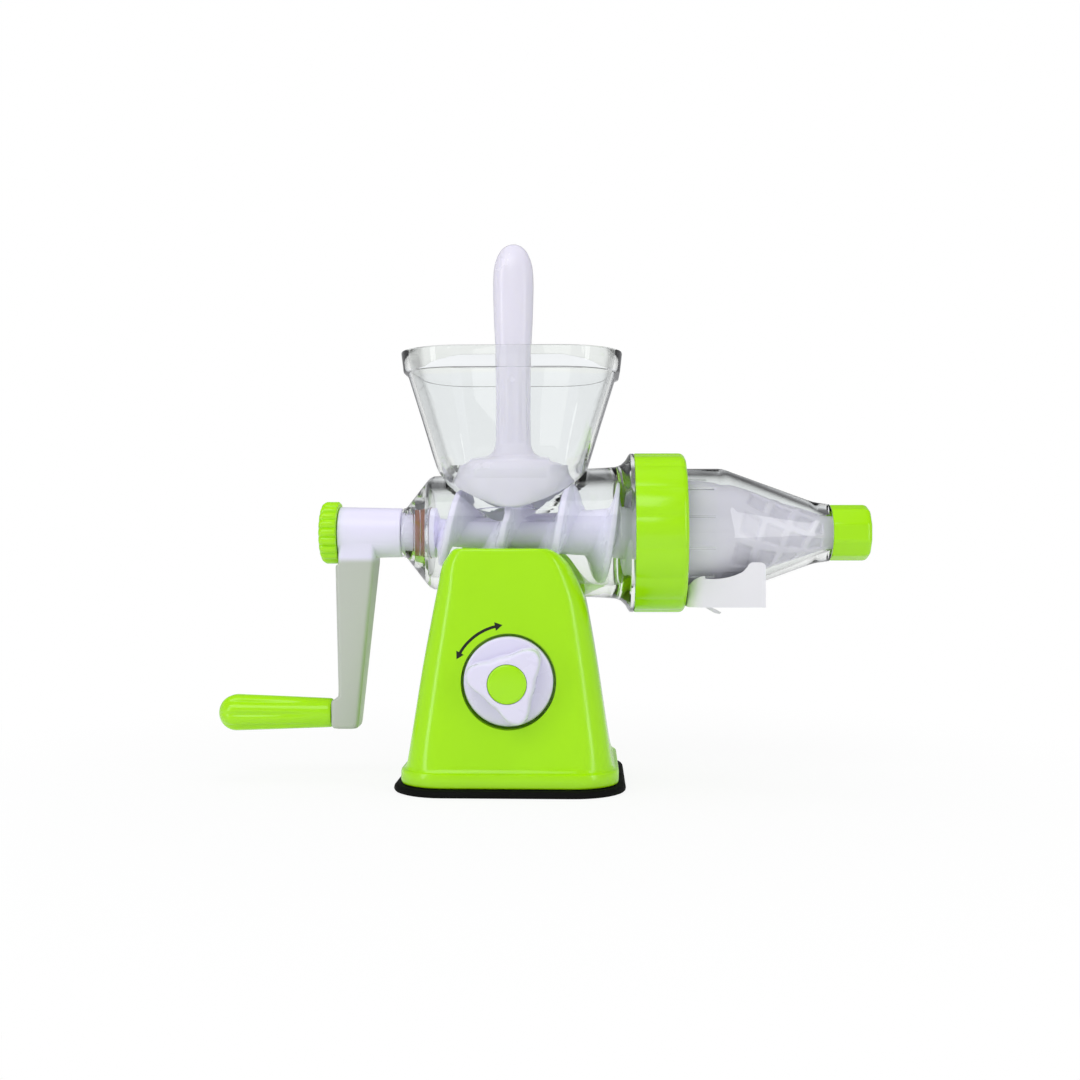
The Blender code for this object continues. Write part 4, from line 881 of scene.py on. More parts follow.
class JUICER_OT_barrel_hopper(bpy.types.Operator):
    """Makes the clear barrel and hopper as one moulding, with its neck, flange and spigot"""

    bl_idname = "juicer.barrel_hopper"
    bl_label = "Barrel and Hopper"

    def execute(self, context):
        wall = sizes().hopper_wall
        outside = [
            (NECK_END, 0.0),
            (NECK_END, 13.2 * MM),
            (-60.6 * MM, 13.6 * MM),
            (-59.0 * MM, 14.1 * MM),
            (-47.6 * MM, 28.5 * MM),
            (-45.8 * MM, 30.4 * MM),
            (-43.7 * MM, 31.4 * MM),
            (50.0 * MM, 35.9 * MM),
            (56.4 * MM, 36.4 * MM),
            (59.6 * MM, 37.6 * MM),
            (62.0 * MM, 40.0 * MM),
            (63.6 * MM, 42.8 * MM),
            (64.4 * MM, 43.7 * MM),
            (66.4 * MM, 43.7 * MM),
            (66.4 * MM, 38.3 * MM),
            (84.6 * MM, 38.3 * MM),
            (84.6 * MM, 0.0),
        ]
        barrel = lathe(outside, "X", AXIS, 2 * sizes().small_sides)
        rim = [
            (222.9 * MM, 58.4 * MM, 49.2 * MM, 33.0 * MM),
            (223.5 * MM, 58.7 * MM, 49.5 * MM, 33.2 * MM),
            (RIM_Z - 0.9 * MM, 59.8 * MM, 50.6 * MM, 33.5 * MM),
            (RIM_Z - 0.2 * MM, 59.6 * MM, 50.4 * MM, 33.4 * MM),
            (RIM_Z, 59.1 * MM, 49.9 * MM, 33.1 * MM),
        ]
        foot = block((-15 * MM, -6 * MM, 98.05 * MM), (15 * MM, 6 * MM, 106.0 * MM))
        hopper = stacked([*smoothed(HOPPER, 3), *rim])
        barrel = combined(barrel, "UNION", hopper, foot)

        bore = [
            (NECK_END - PAST, 0.0),
            (NECK_END - PAST, NECK_BORE),
            (-49.6 * MM, NECK_BORE),
            (-49.6 * MM, SEAL_BORE),
            (-45.0 * MM, SEAL_BORE),
            (-45.0 * MM, 24.2 * MM),
            (-44.3 * MM, 25.0 * MM),
            *CHAMBER,
            (BARREL_END + PAST, 30.4 * MM),
            (BARREL_END + PAST, 0.0),
        ]
        throat = []
        for up, wide, deep, corner in HOPPER[:6]:
            deep = 26.7 * MM if up < LEDGE_Z else max(deep - 4.0 * MM, 30.0 * MM)
            throat.append((up, wide, deep, corner))
        throat[2] = (LEDGE_Z - 0.3 * MM, 24.6 * MM, 26.7 * MM, 16.0 * MM)
        throat.insert(3, (LEDGE_Z, 24.8 * MM, 30.0 * MM, 16.0 * MM))
        bowl = smoothed(HOPPER[6:], 3)
        bowl.append((RIM_Z - 0.6 * MM, 59.5 * MM, 50.3 * MM, 33.4 * MM))
        bowl.append((RIM_Z + PAST, 60.6 * MM, 51.4 * MM, 33.9 * MM))
        inside = stacked([*throat, *bowl], wall)
        barrel = combined(barrel, "DIFFERENCE", lathe(bore, "X", AXIS), inside)
        clear = "clear_plastic"
        make_piece("clear_barrel", barrel, clear, "root", ["barrel_hopper"], 28.0)
        return {"FINISHED"}


PUSHER = [
    (150.5 * MM, 12.0 * MM, 26.6 * MM),
    (152.0 * MM, 18.4 * MM, 27.0 * MM),
    (155.6 * MM, 25.2 * MM, 27.0 * MM),
    (160.0 * MM, 29.2 * MM, 27.0 * MM),
    (165.0 * MM, 31.0 * MM, 26.8 * MM),
    (169.0 * MM, 30.8 * MM, 26.2 * MM),
    (172.6 * MM, 29.6 * MM, 24.6 * MM),
    (175.2 * MM, 26.4 * MM, 21.4 * MM),
    (176.8 * MM, 19.8 * MM, 15.8 * MM),
    (178.8 * MM, 13.6 * MM, 11.0 * MM),
    (184.0 * MM, 10.4 * MM, 8.6 * MM),
    (192.0 * MM, 9.7 * MM, 8.0 * MM),
    (232.0 * MM, 9.8 * MM, 8.4 * MM),
    (256.0 * MM, 10.8 * MM, 9.6 * MM),
    (274.0 * MM, 11.2 * MM, 10.0 * MM),
    (284.0 * MM, 10.5 * MM, 9.3 * MM),
    (290.6 * MM, 8.2 * MM, 7.2 * MM),
    (294.4 * MM, 5.2 * MM, 4.6 * MM),
    (296.0 * MM, 1.9 * MM, 1.7 * MM),
]


class JUICER_OT_pusher(bpy.types.Operator):
    """Makes the translucent food pusher: a fluted stem, a rounded grip and an arched foot"""

    bl_idname = "juicer.pusher"
    bl_label = "Food Pusher"

    def execute(self, context):
        sides = sizes().round_sides
        rows = smoothed(PUSHER, 4)
        pusher = discs([(up, 1.0 * MM) for up, wide, deep in rows], sides, "Z", (0.0, 0.0, 0.0))
        widths = [(up, wide) for up, wide, deep in rows]
        depths = [(up, deep) for up, wide, deep in rows]
        fluted = [(184 * MM, 0.0), (190 * MM, 0.075), (218 * MM, 0.075), (236 * MM, 0.0)]
        for vert in pusher.verts:
            angle = math.atan2(vert.co.y, vert.co.x)
            up = vert.co.z
            wide = math.copysign(abs(math.cos(angle)) ** 0.85, math.cos(angle))
            deep = math.copysign(abs(math.sin(angle)) ** 0.85, math.sin(angle))
            flute = 1.0 - along_line(fluted, up) * math.cos(6 * angle + math.pi) ** 2 * (
                abs(math.sin(angle)) > 0.5
            )
            vert.co.x = along_line(widths, up) * wide * flute
            vert.co.y = along_line(depths, up) * deep * flute
        top = high("pusher").z
        bmesh.ops.scale(
            pusher,
            vec=(1.0, 1.0, (top - PUSHER[0][0]) / (PUSHER[-1][0] - PUSHER[0][0])),
            space=Matrix.Translation((0.0, 0.0, -PUSHER[0][0])),
            verts=pusher.verts,
        )
        arch = rod(-60.0 * MM, 60.0 * MM, 28.8 * MM, "X", AXIS, sides)
        pusher = combined(closed(pusher), "DIFFERENCE", arch)
        make_piece(
            "food_pusher_body",
            pusher,
            "pusher_plastic",
            "food_pusher",
            ["pusher"],
            40.0,
        )
        return {"FINISHED"}


# ---------------------------------------------------------------- auger


FLIGHT_START, FLIGHT_END = -37.0 * MM, 164.0 * MM
FLIGHT_FRONT_X = -4.0 * MM  # where the flight crosses in front of the core
CORE = [
    (-36.0 * MM, 7.5 * MM),
    (50.0 * MM, 13.3 * MM),
    (80.0 * MM, 16.0 * MM),
    (105.0 * MM, 17.0 * MM),
    (125.0 * MM, 14.5 * MM),
    (147.0 * MM, 9.0 * MM),
    (168.0 * MM, 4.5 * MM),
]
STRAINER = [
    (88.0 * MM, 29.6 * MM),
    (105.0 * MM, 28.6 * MM),
    (111.0 * MM, 28.0 * MM),
    (125.0 * MM, 24.3 * MM),
    (147.0 * MM, 16.8 * MM),
    (172.0 * MM, 9.4 * MM),
    (179.0 * MM, 9.2 * MM),
]
STRAINER_WALL = 1.8 * MM


def flight_tip(x):
    """The flight's radius: a running gap in the chamber, and then in the strainer."""
    inside = along_line(STRAINER, x) - STRAINER_WALL - 1.3 * MM
    chamber = along_line(CHAMBER, x) - 1.0 * MM
    share = min(max((x - 80.0 * MM) / (8.0 * MM), 0.0), 1.0)
    return chamber + share * (inside - chamber)


class JUICER_OT_auger(bpy.types.Operator):
    """Makes the auger: a tapered core, one broad flight that winds along it, and its drive"""

    bl_idname = "juicer.auger"
    bl_label = "Auger"

    def execute(self, context):
        pitch = sizes().pitch
        turns = (FLIGHT_END - FLIGHT_START) / pitch
        steps = round(turns * 36)
        tip_half = 2.1 * MM
        # across the flight: (side, how far up from the core, 0 to 1), rounded at the tip
        across = [(-1.0, -0.12), (-0.62, 0.1), (-0.36, 0.36), (-0.2, 0.7), (-0.15, 0.9)]
        across += [(-0.10, 0.975), (0.0, 1.0)]
        across += [(-side, up) for side, up in reversed(across[:-1])]

        flight = bmesh.new()
        height = flight.verts.layers.float.new("height")
        reach = flight.verts.layers.float.new("reach")
        verts = []
        for side, up in across:
            vert = flight.verts.new((FLIGHT_START + side * MM, -10.0 * MM, 0.0))
            vert[height], vert[reach] = up, side
            verts.append(vert)
        profile = flight.faces.new(verts)
        start_angle = math.tau * (FLIGHT_START - FLIGHT_FRONT_X) / pitch
        bmesh.ops.rotate(
            flight,
            verts=verts,
            cent=(0.0, 0.0, 0.0),
            matrix=Matrix.Rotation(-start_angle, 3, "X"),
        )
        bmesh.ops.spin(
            flight,
            geom=[profile],
            cent=(0.0, 0.0, 0.0),
            axis=(-1.0, 0.0, 0.0),
            dvec=((FLIGHT_END - FLIGHT_START) / steps, 0.0, 0.0),
            angle=math.tau * turns,
            steps=steps,
            use_merge=False,
            use_duplicate=False,
        )
        for vert in flight.verts:
            centre_x = vert.co.x - vert[reach] * MM
            core = along_line(CORE, centre_x)
            tip = max(flight_tip(centre_x), core + 0.3 * MM)
            root_half = 0.5 * min(15.0 * MM, 4.2 * MM + 0.75 * (tip - core))
            share = (abs(vert[reach]) - 0.15) / 0.85
            half = tip_half * abs(vert[reach]) / 0.15
            if share > 0.0:
                half = tip_half + share * (root_half + 0.8 * MM - tip_half)
            angle = math.atan2(vert.co.z, -vert.co.y)
            radius = core + vert[height] * (tip - core)
            outward = Vector((0.0, -math.cos(angle), math.sin(angle)))
            place = centre_x + math.copysign(half, vert[reach])
            vert.co = AXIS + outward * radius + Vector((place, 0.0, 0.0))
        flight = closed(flight)

        shaft = high("shaft_bushing").y - 1.6 * MM - GAP
        outline = [
            (NECK_END, 0.0),
            (NECK_END, shaft),
            (-45.0 * MM, shaft),
            (-45.0 * MM, 13.6 * MM),
            (-44.7 * MM, 13.9 * MM),
            (-42.3 * MM, 13.9 * MM),
            (-42.0 * MM, 13.6 * MM),
            (-41.6 * MM, 10.4 * MM),
            (-40.2 * MM, 8.2 * MM),
            *smoothed(CORE, 4),
            (169.2 * MM, 2.6 * MM),
            (169.5 * MM, 0.0),
        ]
        core = lathe(outline, "X", AXIS)
        drive = low("auger").x
        half = 6.4 * MM
        square = block((drive, -half, AXIS_Z - half), (NECK_END + GAP, half, AXIS_Z + half))
        auger = combined(core, "UNION", flight, square)
        hole = rod(drive - PAST, drive + 12.0 * MM, STUD_BORE, "X", AXIS)
        auger = combined(auger, "DIFFERENCE", hole)
        make_piece("auger_screw", auger, "auger_plastic_painted_light", "drive", ["auger"])
        return {"FINISHED"}


# ---------------------------------------------------------------- crank


HUB_END = high("thumb_nut").x + GAP
HUB_BACK = low("barrel_hopper").x - GAP
NUT_RADIUS = high("thumb_nut").y
ARM_BOSS_X = low("crank_arm").x
PIN_BORE = high("grip_pin").y + GAP


class JUICER_OT_crank_arm(bpy.types.Operator):
    """Makes the white hub and arm of the crank as one moulding"""

    bl_idname = "juicer.crank_arm"
    bl_label = "Crank Arm"

    def execute(self, context):
        rounding = quarter_rim(HUB_END, 0.8 * MM, 4)
        outline = [(HUB_END, 0.0), *((x, 14.3 * MM - less) for x, less in rounding)]
        outline += [(HUB_BACK - 0.6 * MM, 13.6 * MM), (HUB_BACK, 13.2 * MM), (HUB_BACK, 0.0)]
        hub = lathe(outline, "X", AXIS)

        nut_clear = AXIS_Z - NUT_RADIUS - 0.6 * MM
        boss_low, boss_high = GRIP_Z - 8.2 * MM, GRIP_Z + 8.2 * MM
        top = AXIS_Z - 13.6 * MM
        heights = [
            (AXIS_Z - 2.0 * MM, HUB_END + GAP),
            (nut_clear + 1.0 * MM, HUB_END + GAP),
            (nut_clear + 0.4 * MM, HUB_END + 0.1 * MM),
            (nut_clear, -97.0 * MM),
            (nut_clear - 0.8 * MM, -97.4 * MM),
            (boss_high + 5.0 * MM, -96.3 * MM),
            (boss_high + 1.6 * MM, -96.5 * MM),
            (boss_high + 0.3 * MM, -98.2 * MM),
            (boss_high - 0.8 * MM, -99.8 * MM),
            (boss_high - 2.0 * MM, ARM_BOSS_X),
            (boss_low + 2.8 * MM, ARM_BOSS_X),
            (boss_low + 1.2 * MM, ARM_BOSS_X + 0.4 * MM),
            (boss_low + 0.3 * MM, ARM_BOSS_X + 1.2 * MM),
            (boss_low, ARM_BOSS_X + 2.4 * MM),
        ]
        bar = bmesh.new()
        faces = []
        for number, (up, left) in enumerate(heights):
            share = min(max((top - up) / (top - boss_low), 0.0), 1.0)
            right = (-75.6 - 9.8 * share) * MM
            deep = (12.6 - 4.0 * share) * MM
            foot = max(number - len(heights) + 4, 0)
            right -= (0.0, 0.3, 1.0, 2.2)[foot] * MM
            deep -= (0.0, 0.3, 0.9, 2.0)[foot] * MM
            half = (right - left) / 2
            face = rounded_face(bar, half, deep, 2.6 * MM, up, 6, (right + left) / 2)
            faces.append(face)
        bar = bridged(bar, faces)
        arm = combined(hub, "UNION", bar)

        drive = low("auger").x
        half = 6.7 * MM
        arm = combined(
            arm,
            "DIFFERENCE",
            block((drive - GAP, -half, AXIS_Z - half), (HUB_BACK + PAST, half, AXIS_Z + half)),
            rod(HUB_END - PAST, drive, STUD_BORE, "X", AXIS),
            rod(ARM_BOSS_X - PAST, high("grip_pin").x + GAP, PIN_BORE, "X", GRIP_AXIS),
        )
        piece = make_piece("crank", arm, "crank_plastic_painted_shade", "drive", ["crank_arm"])
        soften(piece, 0.6 * MM, 3, 32.0)
        return {"FINISHED"}


class JUICER_OT_thumb_nut(bpy.types.Operator):
    """Makes the green nut with round teeth that holds the crank on the auger"""

    bl_idname = "juicer.thumb_nut"
    bl_label = "Thumb Nut"

    def execute(self, context):
        start, end = low("thumb_nut").x, high("thumb_nut").x
        teeth, tooth = sizes().nut_teeth, sizes().nut_tooth
        stations = [
            (start, NUT_RADIUS - 3.2 * MM),
            (start + 0.2 * MM, NUT_RADIUS - 2.2 * MM),
            (start + 0.7 * MM, NUT_RADIUS - 1.1 * MM),
            (start + 1.5 * MM, NUT_RADIUS - 0.4 * MM),
            (start + 2.6 * MM, NUT_RADIUS),
            (end - 0.9 * MM, NUT_RADIUS),
            (end - 0.3 * MM, NUT_RADIUS - 0.25 * MM),
            (end, NUT_RADIUS - 0.9 * MM),
        ]
        nut = discs(stations, teeth * 12, "X", AXIS)

        def toothed(x, angle, radius):
            swell = abs(math.cos(teeth * angle / 2)) ** 0.8
            return radius - tooth * (1.0 - swell)

        reshape_round(nut, "X", AXIS, toothed)
        hole = rod(start + 2.1 * MM, end + PAST, STUD_BORE, "X", AXIS)
        hollow = rod(start - PAST, start + 0.7 * MM, 11.6 * MM, "X", AXIS)
        nut = combined(nut, "DIFFERENCE", hole, hollow)
        make_piece("nut", nut, "green_plastic", "crank_nut", ["thumb_nut"], 30.0)
        return {"FINISHED"}


class JUICER_OT_grip(bpy.types.Operator):
    """Makes the green fluted grip that turns on the arm's pin"""

    bl_idname = "juicer.grip"
    bl_label = "Turning Grip"

    def execute(self, context):
        start, end = low("grip").x, high("grip").x
        ball, small = high("grip").y, 8.0 * MM
        stations = [(end, small - 0.9 * MM), (end - 0.3 * MM, small - 0.3 * MM)]
        stations.append((end - 0.9 * MM, small))
        taper_steps, ball_steps = 30, 13
        for step in range(1, taper_steps):
            x = end + (start + ball - end) * step / taper_steps
            stations.append((x, small + (ball - small) * (step / taper_steps) ** 0.9))
        for step in range(ball_steps):
            angle = math.pi / 2 * step / ball_steps
            radius = ball * math.cos(angle)
            stations.append((start + ball - ball * math.sin(angle), radius))
        stations.append((start, 0.25 * MM))
        flutes = sizes().grip_flutes
        grip = discs(stations, flutes * 16, "X", GRIP_AXIS)
        fading = [(start, 0.0), (start + 5 * MM, 0.35), (start + 13 * MM, 1.0)]
        fading += [(start + 34 * MM, 0.7), (end - 12 * MM, 0.15), (end, 0.0)]

        def fluted(x, angle, radius):
            hollow = (0.5 + 0.5 * math.cos(flutes * angle)) ** 3
            return radius - sizes().grip_flute * along_line(fading, x) * hollow

        reshape_round(grip, "X", GRIP_AXIS, fluted)
        bore = rod(low("grip_pin").x - GAP, end + PAST, PIN_BORE, "X", GRIP_AXIS)
        grip = combined(grip, "DIFFERENCE", bore)
        make_piece("turning_grip", grip, "green_plastic", "crank_grip", ["grip"])
        return {"FINISHED"}


# ---------------------------------------------------------------- outlet end


SPIGOT = high("cover_gasket").y + GAP
COVER_RADIUS = SPIGOT - 3.0 * MM
COVER_START = high("cover_gasket").x + GAP
COVER_LIP = COVER_START + 3.5 * MM
CONE_START, CONE_END = 116.4 * MM, 164.8 * MM
COVER_END = low("end_cap").x - GAP
FINS = 12  # short ribs inside the cover
SNOUT_END, SNOUT_RADIUS = 187.0 * MM, 13.0 * MM  # the cover's end, inside the cap
SPOUT_LOW = AXIS_Z - COVER_RADIUS - 4.7 * MM


class JUICER_OT_locking_ring(bpy.types.Operator):
    """Makes the green ring with broad scallops that clamps the cover on the barrel"""

    bl_idname = "juicer.locking_ring"
    bl_label = "Locking Ring"

    def execute(self, context):
        start, end = low("locking_ring").x, high("locking_ring").x
        radius = high("locking_ring").z - AXIS_Z
        stations = [(start, radius - 0.6 * MM), (start + 0.2 * MM, radius - 0.2 * MM)]
        stations += [(start + 0.7 * MM, radius), *quarter(end - 3.6 * MM, end, radius, 3.0 * MM, 8)]
        scallops = sizes().ring_scallops
        ring = discs(stations, scallops * 14, "X", AXIS)

        def scalloped(x, angle, radius):
            swell = abs(math.cos(scallops * angle / 2)) ** 0.85
            return radius - sizes().ring_scallop * (1.0 - swell)

        reshape_round(ring, "X", AXIS, scalloped)
        lip = COVER_LIP + GAP
        bore = [
            (start - PAST, 0.0),
            (start - PAST, SPIGOT + GAP),
            (lip, SPIGOT + GAP),
            (lip, COVER_RADIUS + GAP),
            (end + PAST, COVER_RADIUS + GAP),
            (end + PAST, 0.0),
        ]
        ring = combined(ring, "DIFFERENCE", lathe(bore, "X", AXIS, 2 * sizes().round_sides))
        make_piece(
            "scalloped_ring", ring, "green_plastic", "ring", ["locking_ring"], 30.0
        )
        return {"FINISHED"}


class JUICER_OT_outlet_cover(bpy.types.Operator):
    """Makes the clear cone cover, with short ribs inside it behind the ring"""

    bl_idname = "juicer.outlet_cover"
    bl_label = "Cone Cover"

    def execute(self, context):
        wall = sizes().cover_wall
        inner = COVER_RADIUS - wall
        seat = COVER_RADIUS - 2.7 * MM + 1.3 * GAP
        step = 87.9 * MM + GAP
        outline = [
            (COVER_START, seat),
            (COVER_START, SPIGOT - 0.1 * MM),
            (COVER_LIP, SPIGOT - 0.1 * MM),
            (COVER_LIP, COVER_RADIUS),
            (CONE_START - 4.0 * MM, COVER_RADIUS),
            (CONE_START - 1.4 * MM, COVER_RADIUS - 0.2 * MM),
            (CONE_START + 1.2 * MM, COVER_RADIUS - 0.95 * MM),
            (CONE_START + 4.0 * MM, COVER_RADIUS - 2.05 * MM),
            (CONE_END - 3.0 * MM, 18.1 * MM),
            (CONE_END, 17.1 * MM),
            (CONE_END + 3.0 * MM, 16.5 * MM),
            (COVER_END - 0.4 * MM, 15.7 * MM),
            (COVER_END, 15.2 * MM),
            (COVER_END, SNOUT_RADIUS),
            (SNOUT_END, SNOUT_RADIUS),
            (SNOUT_END, 10.2 * MM),
            (COVER_END - 1.0 * MM, 10.2 * MM),
            (CONE_END - 0.5 * MM, 17.0 * MM - wall),
            (CONE_START - 0.8 * MM, inner),
            (step, inner),
            (step, seat),
        ]
        cover = lathe(outline, "X", AXIS, 2 * sizes().round_sides)
        fins = []
        for number in range(FINS):
            low_corner = (91.6 * MM, -0.4 * MM, inner - 0.8 * MM)
            high_corner = (109.0 * MM, 0.4 * MM, inner + GAP)
            fin = block(low_corner, high_corner)
            turn = Matrix.Rotation(math.tau * (number + 0.5) / FINS, 4, "X")
            bmesh.ops.transform(fin, matrix=Matrix.Translation(AXIS) @ turn, verts=fin.verts)
            fins.append(fin)
        cover = combined(cover, "UNION", *fins)
        slot = block((101 * MM, -12 * MM, SPOUT_LOW), (113 * MM, 12 * MM, AXIS_Z - inner + 4 * MM))
        cover = combined(cover, "DIFFERENCE", slot)
        make_piece(
            "cone_cover", cover, "clear_plastic", "root", ["outlet_cover"], 24.0
        )
        return {"FINISHED"}


class JUICER_OT_strainer(bpy.types.Operator):
    """Makes the translucent strainer, with rows of thin windows between ribs that wind along it"""

    bl_idname = "juicer.strainer"
    bl_label = "Strainer"

    def execute(self, context):
        flange_start, flange_end = low("strainer").x, low("strainer").x + 3.0 * MM
        flange = high("strainer").y
        rows = 90
        begin, end = STRAINER[0][0], STRAINER[-1][0]
        places = [begin + (end - begin) * row / rows for row in range(rows + 1)]
        outside = [(x, self.radius_at(x)) for x in places]
        outline = [(flange_start, outside[0][1] - STRAINER_WALL), (flange_start, flange)]
        outline += [(flange_end, flange), (flange_end, outside[0][1]), *outside[1:]]
        outline += [(x, radius - STRAINER_WALL) for x, radius in reversed(outside[1:])]
        strainer = lathe(outline, "X", AXIS, 2 * sizes().round_sides)

        relief = sizes().strainer_relief
        for vert in strainer.verts:
            x = vert.co.x
            offset = vert.co - AXIS
            radius = math.hypot(offset.y, offset.z)
            if radius < self.radius_at(x) - STRAINER_WALL / 2:
                continue
            window = (self.edge_distance(vert.co) - 0.13) / 0.05
            sink = relief * min(max(window, 0.0), 1.0)
            share = (radius - sink) / radius
            vert.co = Vector((x, offset.y * share, AXIS_Z + offset.z * share))
        # window faces take the darker copy of the frosted plastic, partly painted shade between the
        # ribs
        for face in strainer.faces:
            middle_x = face.calc_center_median().x
            if self.is_window(face.calc_center_median()) and middle_x > flange_end:
                face.material_index = 1
        piece = make_piece(
            "strainer_cone", strainer, "strainer_plastic_painted_light", "root", ["strainer"]
        )
        piece.data.materials.append(finish("strainer_window_painted_shade"))
        return {"FINISHED"}

    def edge_distance(self, point):
        """How far a point is from the nearest rib, as a share of the ribs' spacing."""
        x = point.x / MM
        angle = math.degrees(math.atan2(point.z - AXIS_Z, -point.y))
        along = (x - 119.5 - 0.116 * angle) / 14.4
        if along < 0.0 or x > 168.0:
            return 0.0
        around = (angle - 40.0 + 1.05 * (x - 120.0)) * sizes().strainer_ribs / 360.0
        return min(0.5 - abs(share % 1.0 - 0.5) for share in (along, around))

    def is_window(self, point):
        return self.edge_distance(point) > 0.16

    def radius_at(self, x):
        return along_line(STRAINER, x)


def trough(half, start, end, corner, low_z, high_z):
    """A block with its two upright edges at the ring's end made round."""
    bm = block((start, -half, low_z), (end, half, high_z))
    upright = [
        edge
        for edge in bm.edges
        if all(vert.co.x < start + MERGE for vert in edge.verts)
        and abs(edge.verts[0].co.z - edge.verts[1].co.z) > 1.0 * MM
    ]
    bmesh.ops.bevel(
        bm,
        geom=upright,
        offset=corner,
        offset_type="OFFSET",
        segments=sizes().corner_steps,
        profile=0.5,
        affect="EDGES",
        material=-1,
    )
    return closed(bm)


def drawn_across(outline, half):
    """A side outline of (x, z) in mm, drawn out to both sides along Y."""
    bm = bmesh.new()
    face = bm.faces.new([bm.verts.new((x * MM, -half, z * MM)) for x, z in outline])
    drawn = bmesh.ops.extrude_face_region(bm, geom=[face])
    moved = [item for item in drawn["geom"] if isinstance(item, bmesh.types.BMVert)]
    bmesh.ops.translate(bm, vec=(0.0, 2.0 * half, 0.0), verts=moved)
    return closed(bm)


class JUICER_OT_juice_spout(bpy.types.Operator):
    """Makes the matt white trough under the cover, with its drip lip and its raised end"""

    bl_idname = "juicer.juice_spout"
    bl_label = "Juice Spout"

    def execute(self, context):
        start, end = low("juice_spout").x, high("juice_spout").x
        half, wall = high("juice_spout").y, sizes().spout_wall
        top, tab = high("juice_spout").z, 126.3 * MM
        spout = trough(half, start, end, 9.0 * MM, SPOUT_LOW, top)

        side = [(102.0, 97.5), (105.0, 97.5), (114.4, 92.9), (113.4, 91.9), (110.4, 92.7)]
        spout = combined(spout, "UNION", drawn_across(side, 6.5 * MM))

        cover = COVER_RADIUS + GAP
        around = [(60.0 * MM, 0.0), (60.0 * MM, cover), (CONE_START, cover)]
        around += [(CONE_END, 17.3 * MM), (COVER_END, 15.9 * MM), (COVER_END, 0.0)]
        side_top = AXIS_Z - math.sqrt(cover**2 - half**2)
        # the top edge dips beside the cover and climbs to the raised end
        bend, turns = 35.5, [step / 30 for step in range(-3, 15)]
        arc = [(108.0 + bend * math.sin(a), 147.2 - bend * math.cos(a)) for a in turns]
        dip = [(103.8, 112.1), *(point for point in arc if 103.9 < point[0] < tab / MM - 0.1)]
        dip += [(tab / MM, 118.2), (tab / MM + 0.7, 119.6), (tab / MM + 2.4, 120.6)]
        dip += [(tab / MM + 2.4, 124.0), (103.8, 124.0)]
        right = end / MM
        corner = [(right - 2.4, 120.6), (right - 0.7, 119.9), (right, 118.2), (right + 2.0, 118.2)]
        corner += [(right + 2.0, 124.0), (right - 2.4, 124.0)]
        room = trough(
            half - wall, start + wall, end - wall, 9.0 * MM - wall, SPOUT_LOW + wall, top + PAST
        )
        spout = combined(
            spout,
            "DIFFERENCE",
            lathe(around, "X", AXIS, 2 * sizes().round_sides),
            block((start - PAST, -half - PAST, side_top), (104 * MM, half + PAST, top + PAST)),
            drawn_across(dip, half + PAST),
            drawn_across(corner, half + PAST),
            room,
            rod(SPOUT_LOW - 0.4 * MM, SPOUT_LOW + wall + PAST, 4.5 * MM, "Z", (112 * MM, 0, 0)),
        )
        piece = make_piece(
            "spout", spout, "matt_white_plastic", "root", ["juice_spout"]
        )
        soften(piece, 0.5 * MM, 3, 35.0)
        return {"FINISHED"}


class JUICER_OT_end_cap(bpy.types.Operator):
    """Makes the green faceted cap on the pulp outlet"""

    bl_idname = "juicer.end_cap"
    bl_label = "End Cap"

    def execute(self, context):
        start, end = low("end_cap").x, high("end_cap").x
        facets = sizes().cap_facets
        radius = (high("end_cap").z - low("end_cap").z) / 2
        stations = [(start, radius - 0.5 * MM), (start + 0.2 * MM, radius - 0.15 * MM)]
        stations += [(start + 0.6 * MM, radius), *quarter(end - 3.4 * MM, end, radius, 2.6 * MM, 8)]
        cap = discs(stations, facets * 16, "X", AXIS)

        def faceted(x, angle, now):
            half = math.pi / facets
            flat = math.cos(half) / math.cos((angle + half) % (2 * half) - half)
            return min(now * flat, now - 0.012 * radius)

        reshape_round(cap, "X", AXIS, faceted)
        room = [
            (start - PAST, 0.0),
            (start - PAST, SNOUT_RADIUS + GAP),
            (SNOUT_END + GAP, SNOUT_RADIUS + GAP),
            (SNOUT_END + GAP, 7.0 * MM),
            (end - 0.8 * MM, 7.0 * MM),
            (end + PAST, 8.4 * MM),
            (end + PAST, 0.0),
        ]
        cap = combined(cap, "DIFFERENCE", lathe(room, "X", AXIS))
        make_piece(
            "faceted_cap", cap, "green_plastic", "outlet_cap", ["end_cap"], 28.0
        )
        return {"FINISHED"}


# ---------------------------------------------------------------- finishes and stage


class JUICER_OT_hardware(bpy.types.Operator):
    """Gives the screws, seals, shafts and plate of the CAD frame their finished materials"""

    bl_idname = "juicer.hardware"
    bl_label = "Hardware Finishes"

    def execute(self, context):
        for name, nodes in CAD_FINISHES.items():
            for node in nodes:
                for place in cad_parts[node].material_slots:
                    place.material = finish(name)
        return {"FINISHED"}


def look_at(place, target):
    """A turn that points a lamp's -Z from one place to another."""
    return (Vector(target) - Vector(place)).to_track_quat("-Z", "Y").to_euler()


def soft_light(name, place, target, width, height, power):
    lamp = bpy.data.lights.new(name, "AREA")
    lamp.shape = "RECTANGLE"
    lamp.size = width
    lamp.size_y = height
    lamp.energy = power
    obj = bpy.data.objects.new(name, lamp)
    obj.location = place
    obj.rotation_euler = look_at(place, target)
    obj.visible_transmission = False  # not seen through clear plastic
    bpy.context.scene.collection.objects.link(obj)
    return obj


